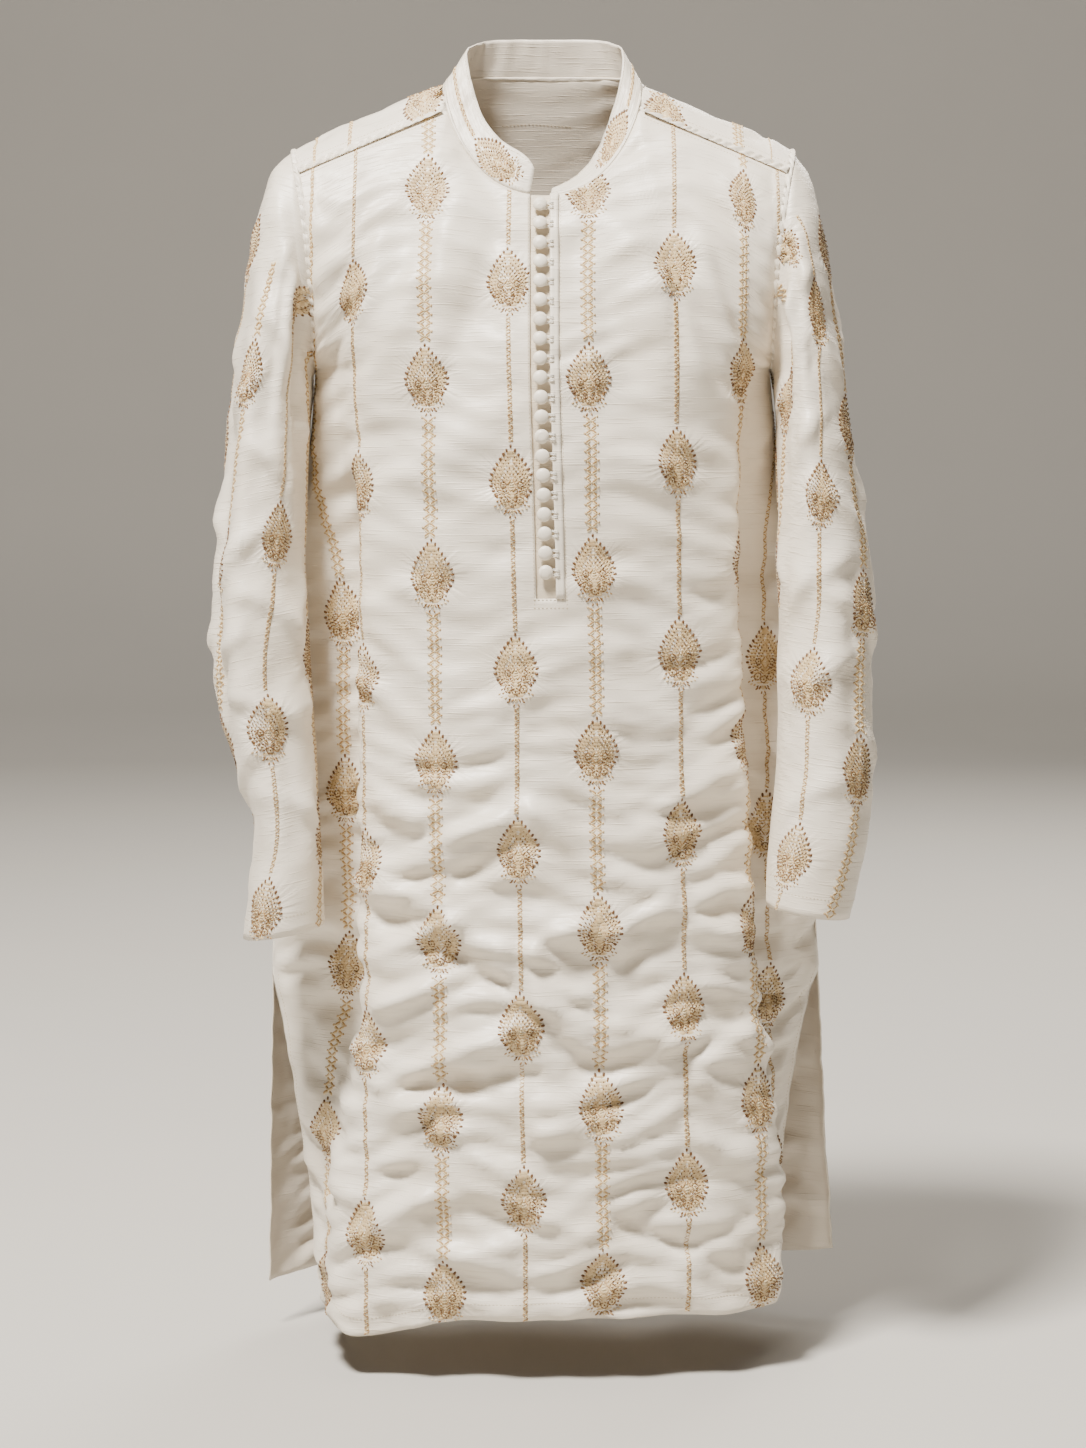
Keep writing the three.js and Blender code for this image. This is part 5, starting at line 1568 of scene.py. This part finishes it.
class KURTA_OT_embroidery(bpy.types.Operator):
    """Stitch the columns of leaves and lines on every piece of cloth"""

    bl_idname = "kurta.embroidery"
    bl_label = "Embroidery"

    def execute(self, context):
        seed = context.scene.kurta_sizes.seed
        thread = material_of("thread")
        front = cloth_of("front")
        strokes = embroidery_strokes(FRONT_COLUMNS, -30, 1100, seed)
        obj = stitches_object("front_embroidery", front, strokes, thread)
        dress(obj, "cloth")
        strokes = embroidery_strokes(BACK_COLUMNS, -150, 1100, seed + 1)
        obj = stitches_object("back_embroidery", cloth_of("back"), strokes, thread)
        dress(obj, "cloth")
        for hand in HANDS:
            strokes = embroidery_strokes(SLEEVE_COLUMNS[hand], -10, SLEEVE_LINE_TOP[hand], seed + 2,
                                         1, SLEEVE_LEAN[hand])
            obj = stitches_object(f"sleeve_{hand}_embroidery", cloth_of(f"sleeve_{hand}"), strokes, thread)
            dress(obj, "cloth")
        obj = stitches_object("collar_embroidery", cloth_of("collar"), collar_strokes(), thread)
        dress(obj, "cloth")
        return {"FINISHED"}


def collar_strokes():
    """One leaf at each front end of the collar, pointing back round the neck, and its line."""
    total = NECK.total - 2 * OPENING_HALF
    parts = []
    for middle, sign in ((40, 1), (total - 80, -1)):
        leaf = LEAF.copy()
        for k in (0, 2):
            x, y = LEAF[:, k], LEAF[:, k + 1]
            leaf[:, k] = middle + sign * y
            leaf[:, k + 1] = 16 + x * 0.9
        parts.append(leaf)
        line = line_strokes("narrow", 0, 84)
        turned = line.copy()
        for k in (0, 2):
            turned[:, k] = middle + sign * (LEAF_TOP + line[:, k + 1])
            turned[:, k + 1] = 17 + line[:, k]
        parts.append(turned)
    return np.concatenate(parts)


class KURTA_OT_stage(bpy.types.Operator):
    """Set up the floor, the studio lights and the camera"""

    bl_idname = "kurta.stage"
    bl_label = "Stage"

    def execute(self, context):
        colours = context.scene.kurta_colours
        low = FLOOR_LEVEL
        profile = [(-9, low), (5.2, low), (6.0, low + 0.07), (6.6, low + 0.3), (7.0, low + 0.8),
                   (7.1, low + 1.5), (7.1, low + 6)]
        points = [(x / MM, y / MM, z / MM) for x in (-9, 9) for y, z in profile]
        count = len(profile)
        faces = [(k, k + count, k + count + 1, k + 1) for k in range(count - 1)]
        material, tree, shader = new_material("matt studio paper", {"Roughness": 0.9})
        where = add_node(tree, "ShaderNodeTexCoord")
        grain = add_node(tree, "ShaderNodeTexNoise", {"Scale": 3, "Detail": 3},
                         Vector=where.outputs["Object"])
        ramp = add_node(tree, "ShaderNodeValToRGB", None, Fac=grain.outputs["Fac"])
        ramp.color_ramp.elements[0].color = (*[0.96 * c for c in colours.floor], 1)
        ramp.color_ramp.elements[1].color = (*colours.floor, 1)
        tree.links.new(ramp.outputs["Color"], shader.inputs["Base Color"])
        floor = mesh_object("studio_floor", points, faces, [material])
        lights = (
            ("key", (-1.3, -2.0, 3.6), (0, 0, -0.6), 0.9, 740),
            ("fill", (2.8, -2.4, 0.2), (0, 0, -0.6), 2.4, 5),
            ("top", (0.3, 0.9, 2.6), (0, 0, -0.4), 1.6, 30),
            ("back", (1.4, 3.2, 1.8), (0, 0, -0.6), 2.0, 110),
        )
        for name, place, aim, size, power in lights:
            data = bpy.data.lights.new(name, "AREA")
            data.shape = "SQUARE"
            data.size = size
            data.energy = power
            data.color = LIGHT_COLOUR
            lamp = bpy.data.objects.new(name, data)
            lamp.location = place
            lamp.rotation_euler = (Vector(aim) - Vector(place)).to_track_quat("-Z", "Y").to_euler()
            context.scene.collection.objects.link(lamp)
        world = bpy.data.worlds.new("soft studio")
        world.use_nodes = True
        background = world.node_tree.nodes["Background"]
        background.inputs["Color"].default_value = WORLD_COLOUR
        background.inputs["Strength"].default_value = WORLD_STRENGTH
        context.scene.world = world
        data = bpy.data.cameras.new("camera")
        data.lens = CAMERA_LENS
        data.sensor_width = CAMERA_SENSOR
        data.clip_start = 0.05
        camera = bpy.data.objects.new("camera", data)
        camera.location = CAMERA_PLACE
        camera.rotation_euler = (math.radians(90 - CAMERA_DIP), 0, 0)
        context.scene.collection.objects.link(camera)
        context.scene.camera = camera
        return {"FINISHED"}


class KURTA_PT_panel(bpy.types.Panel):
    """Lists the pieces of the kurta"""

    bl_label = "Kurta"
    bl_idname = "KURTA_PT_panel"
    bl_space_type = "VIEW_3D"
    bl_region_type = "UI"
    bl_category = "Kurta"

    def draw(self, context):
        layout = self.layout
        for group in (context.scene.kurta_sizes, context.scene.kurta_colours):
            column = layout.column()
            for name in group.bl_rna.properties.keys():
                if name not in ("rna_type", "name"):
                    column.prop(group, name)
        for step in STEPS:
            layout.operator(step.bl_idname)


STEPS = (KURTA_OT_front, KURTA_OT_back, KURTA_OT_sleeves, KURTA_OT_collar, KURTA_OT_placket,
         KURTA_OT_buttons, KURTA_OT_loops, KURTA_OT_seams, KURTA_OT_topstitching,
         KURTA_OT_embroidery, KURTA_OT_stage)
CLASSES = (KurtaSizes, KurtaColours, *STEPS, KURTA_PT_panel)


def register():
    for cls in CLASSES:
        bpy.utils.register_class(cls)
    bpy.types.Scene.kurta_sizes = PointerProperty(type=KurtaSizes)
    bpy.types.Scene.kurta_colours = PointerProperty(type=KurtaColours)


def unregister():
    del bpy.types.Scene.kurta_colours
    del bpy.types.Scene.kurta_sizes
    for cls in reversed(CLASSES):
        bpy.utils.unregister_class(cls)


def main():
    register()
    for step in STEPS:
        group, name = step.bl_idname.split(".")
        getattr(getattr(bpy.ops, group), name)()


if __name__ == "__main__":
    main()
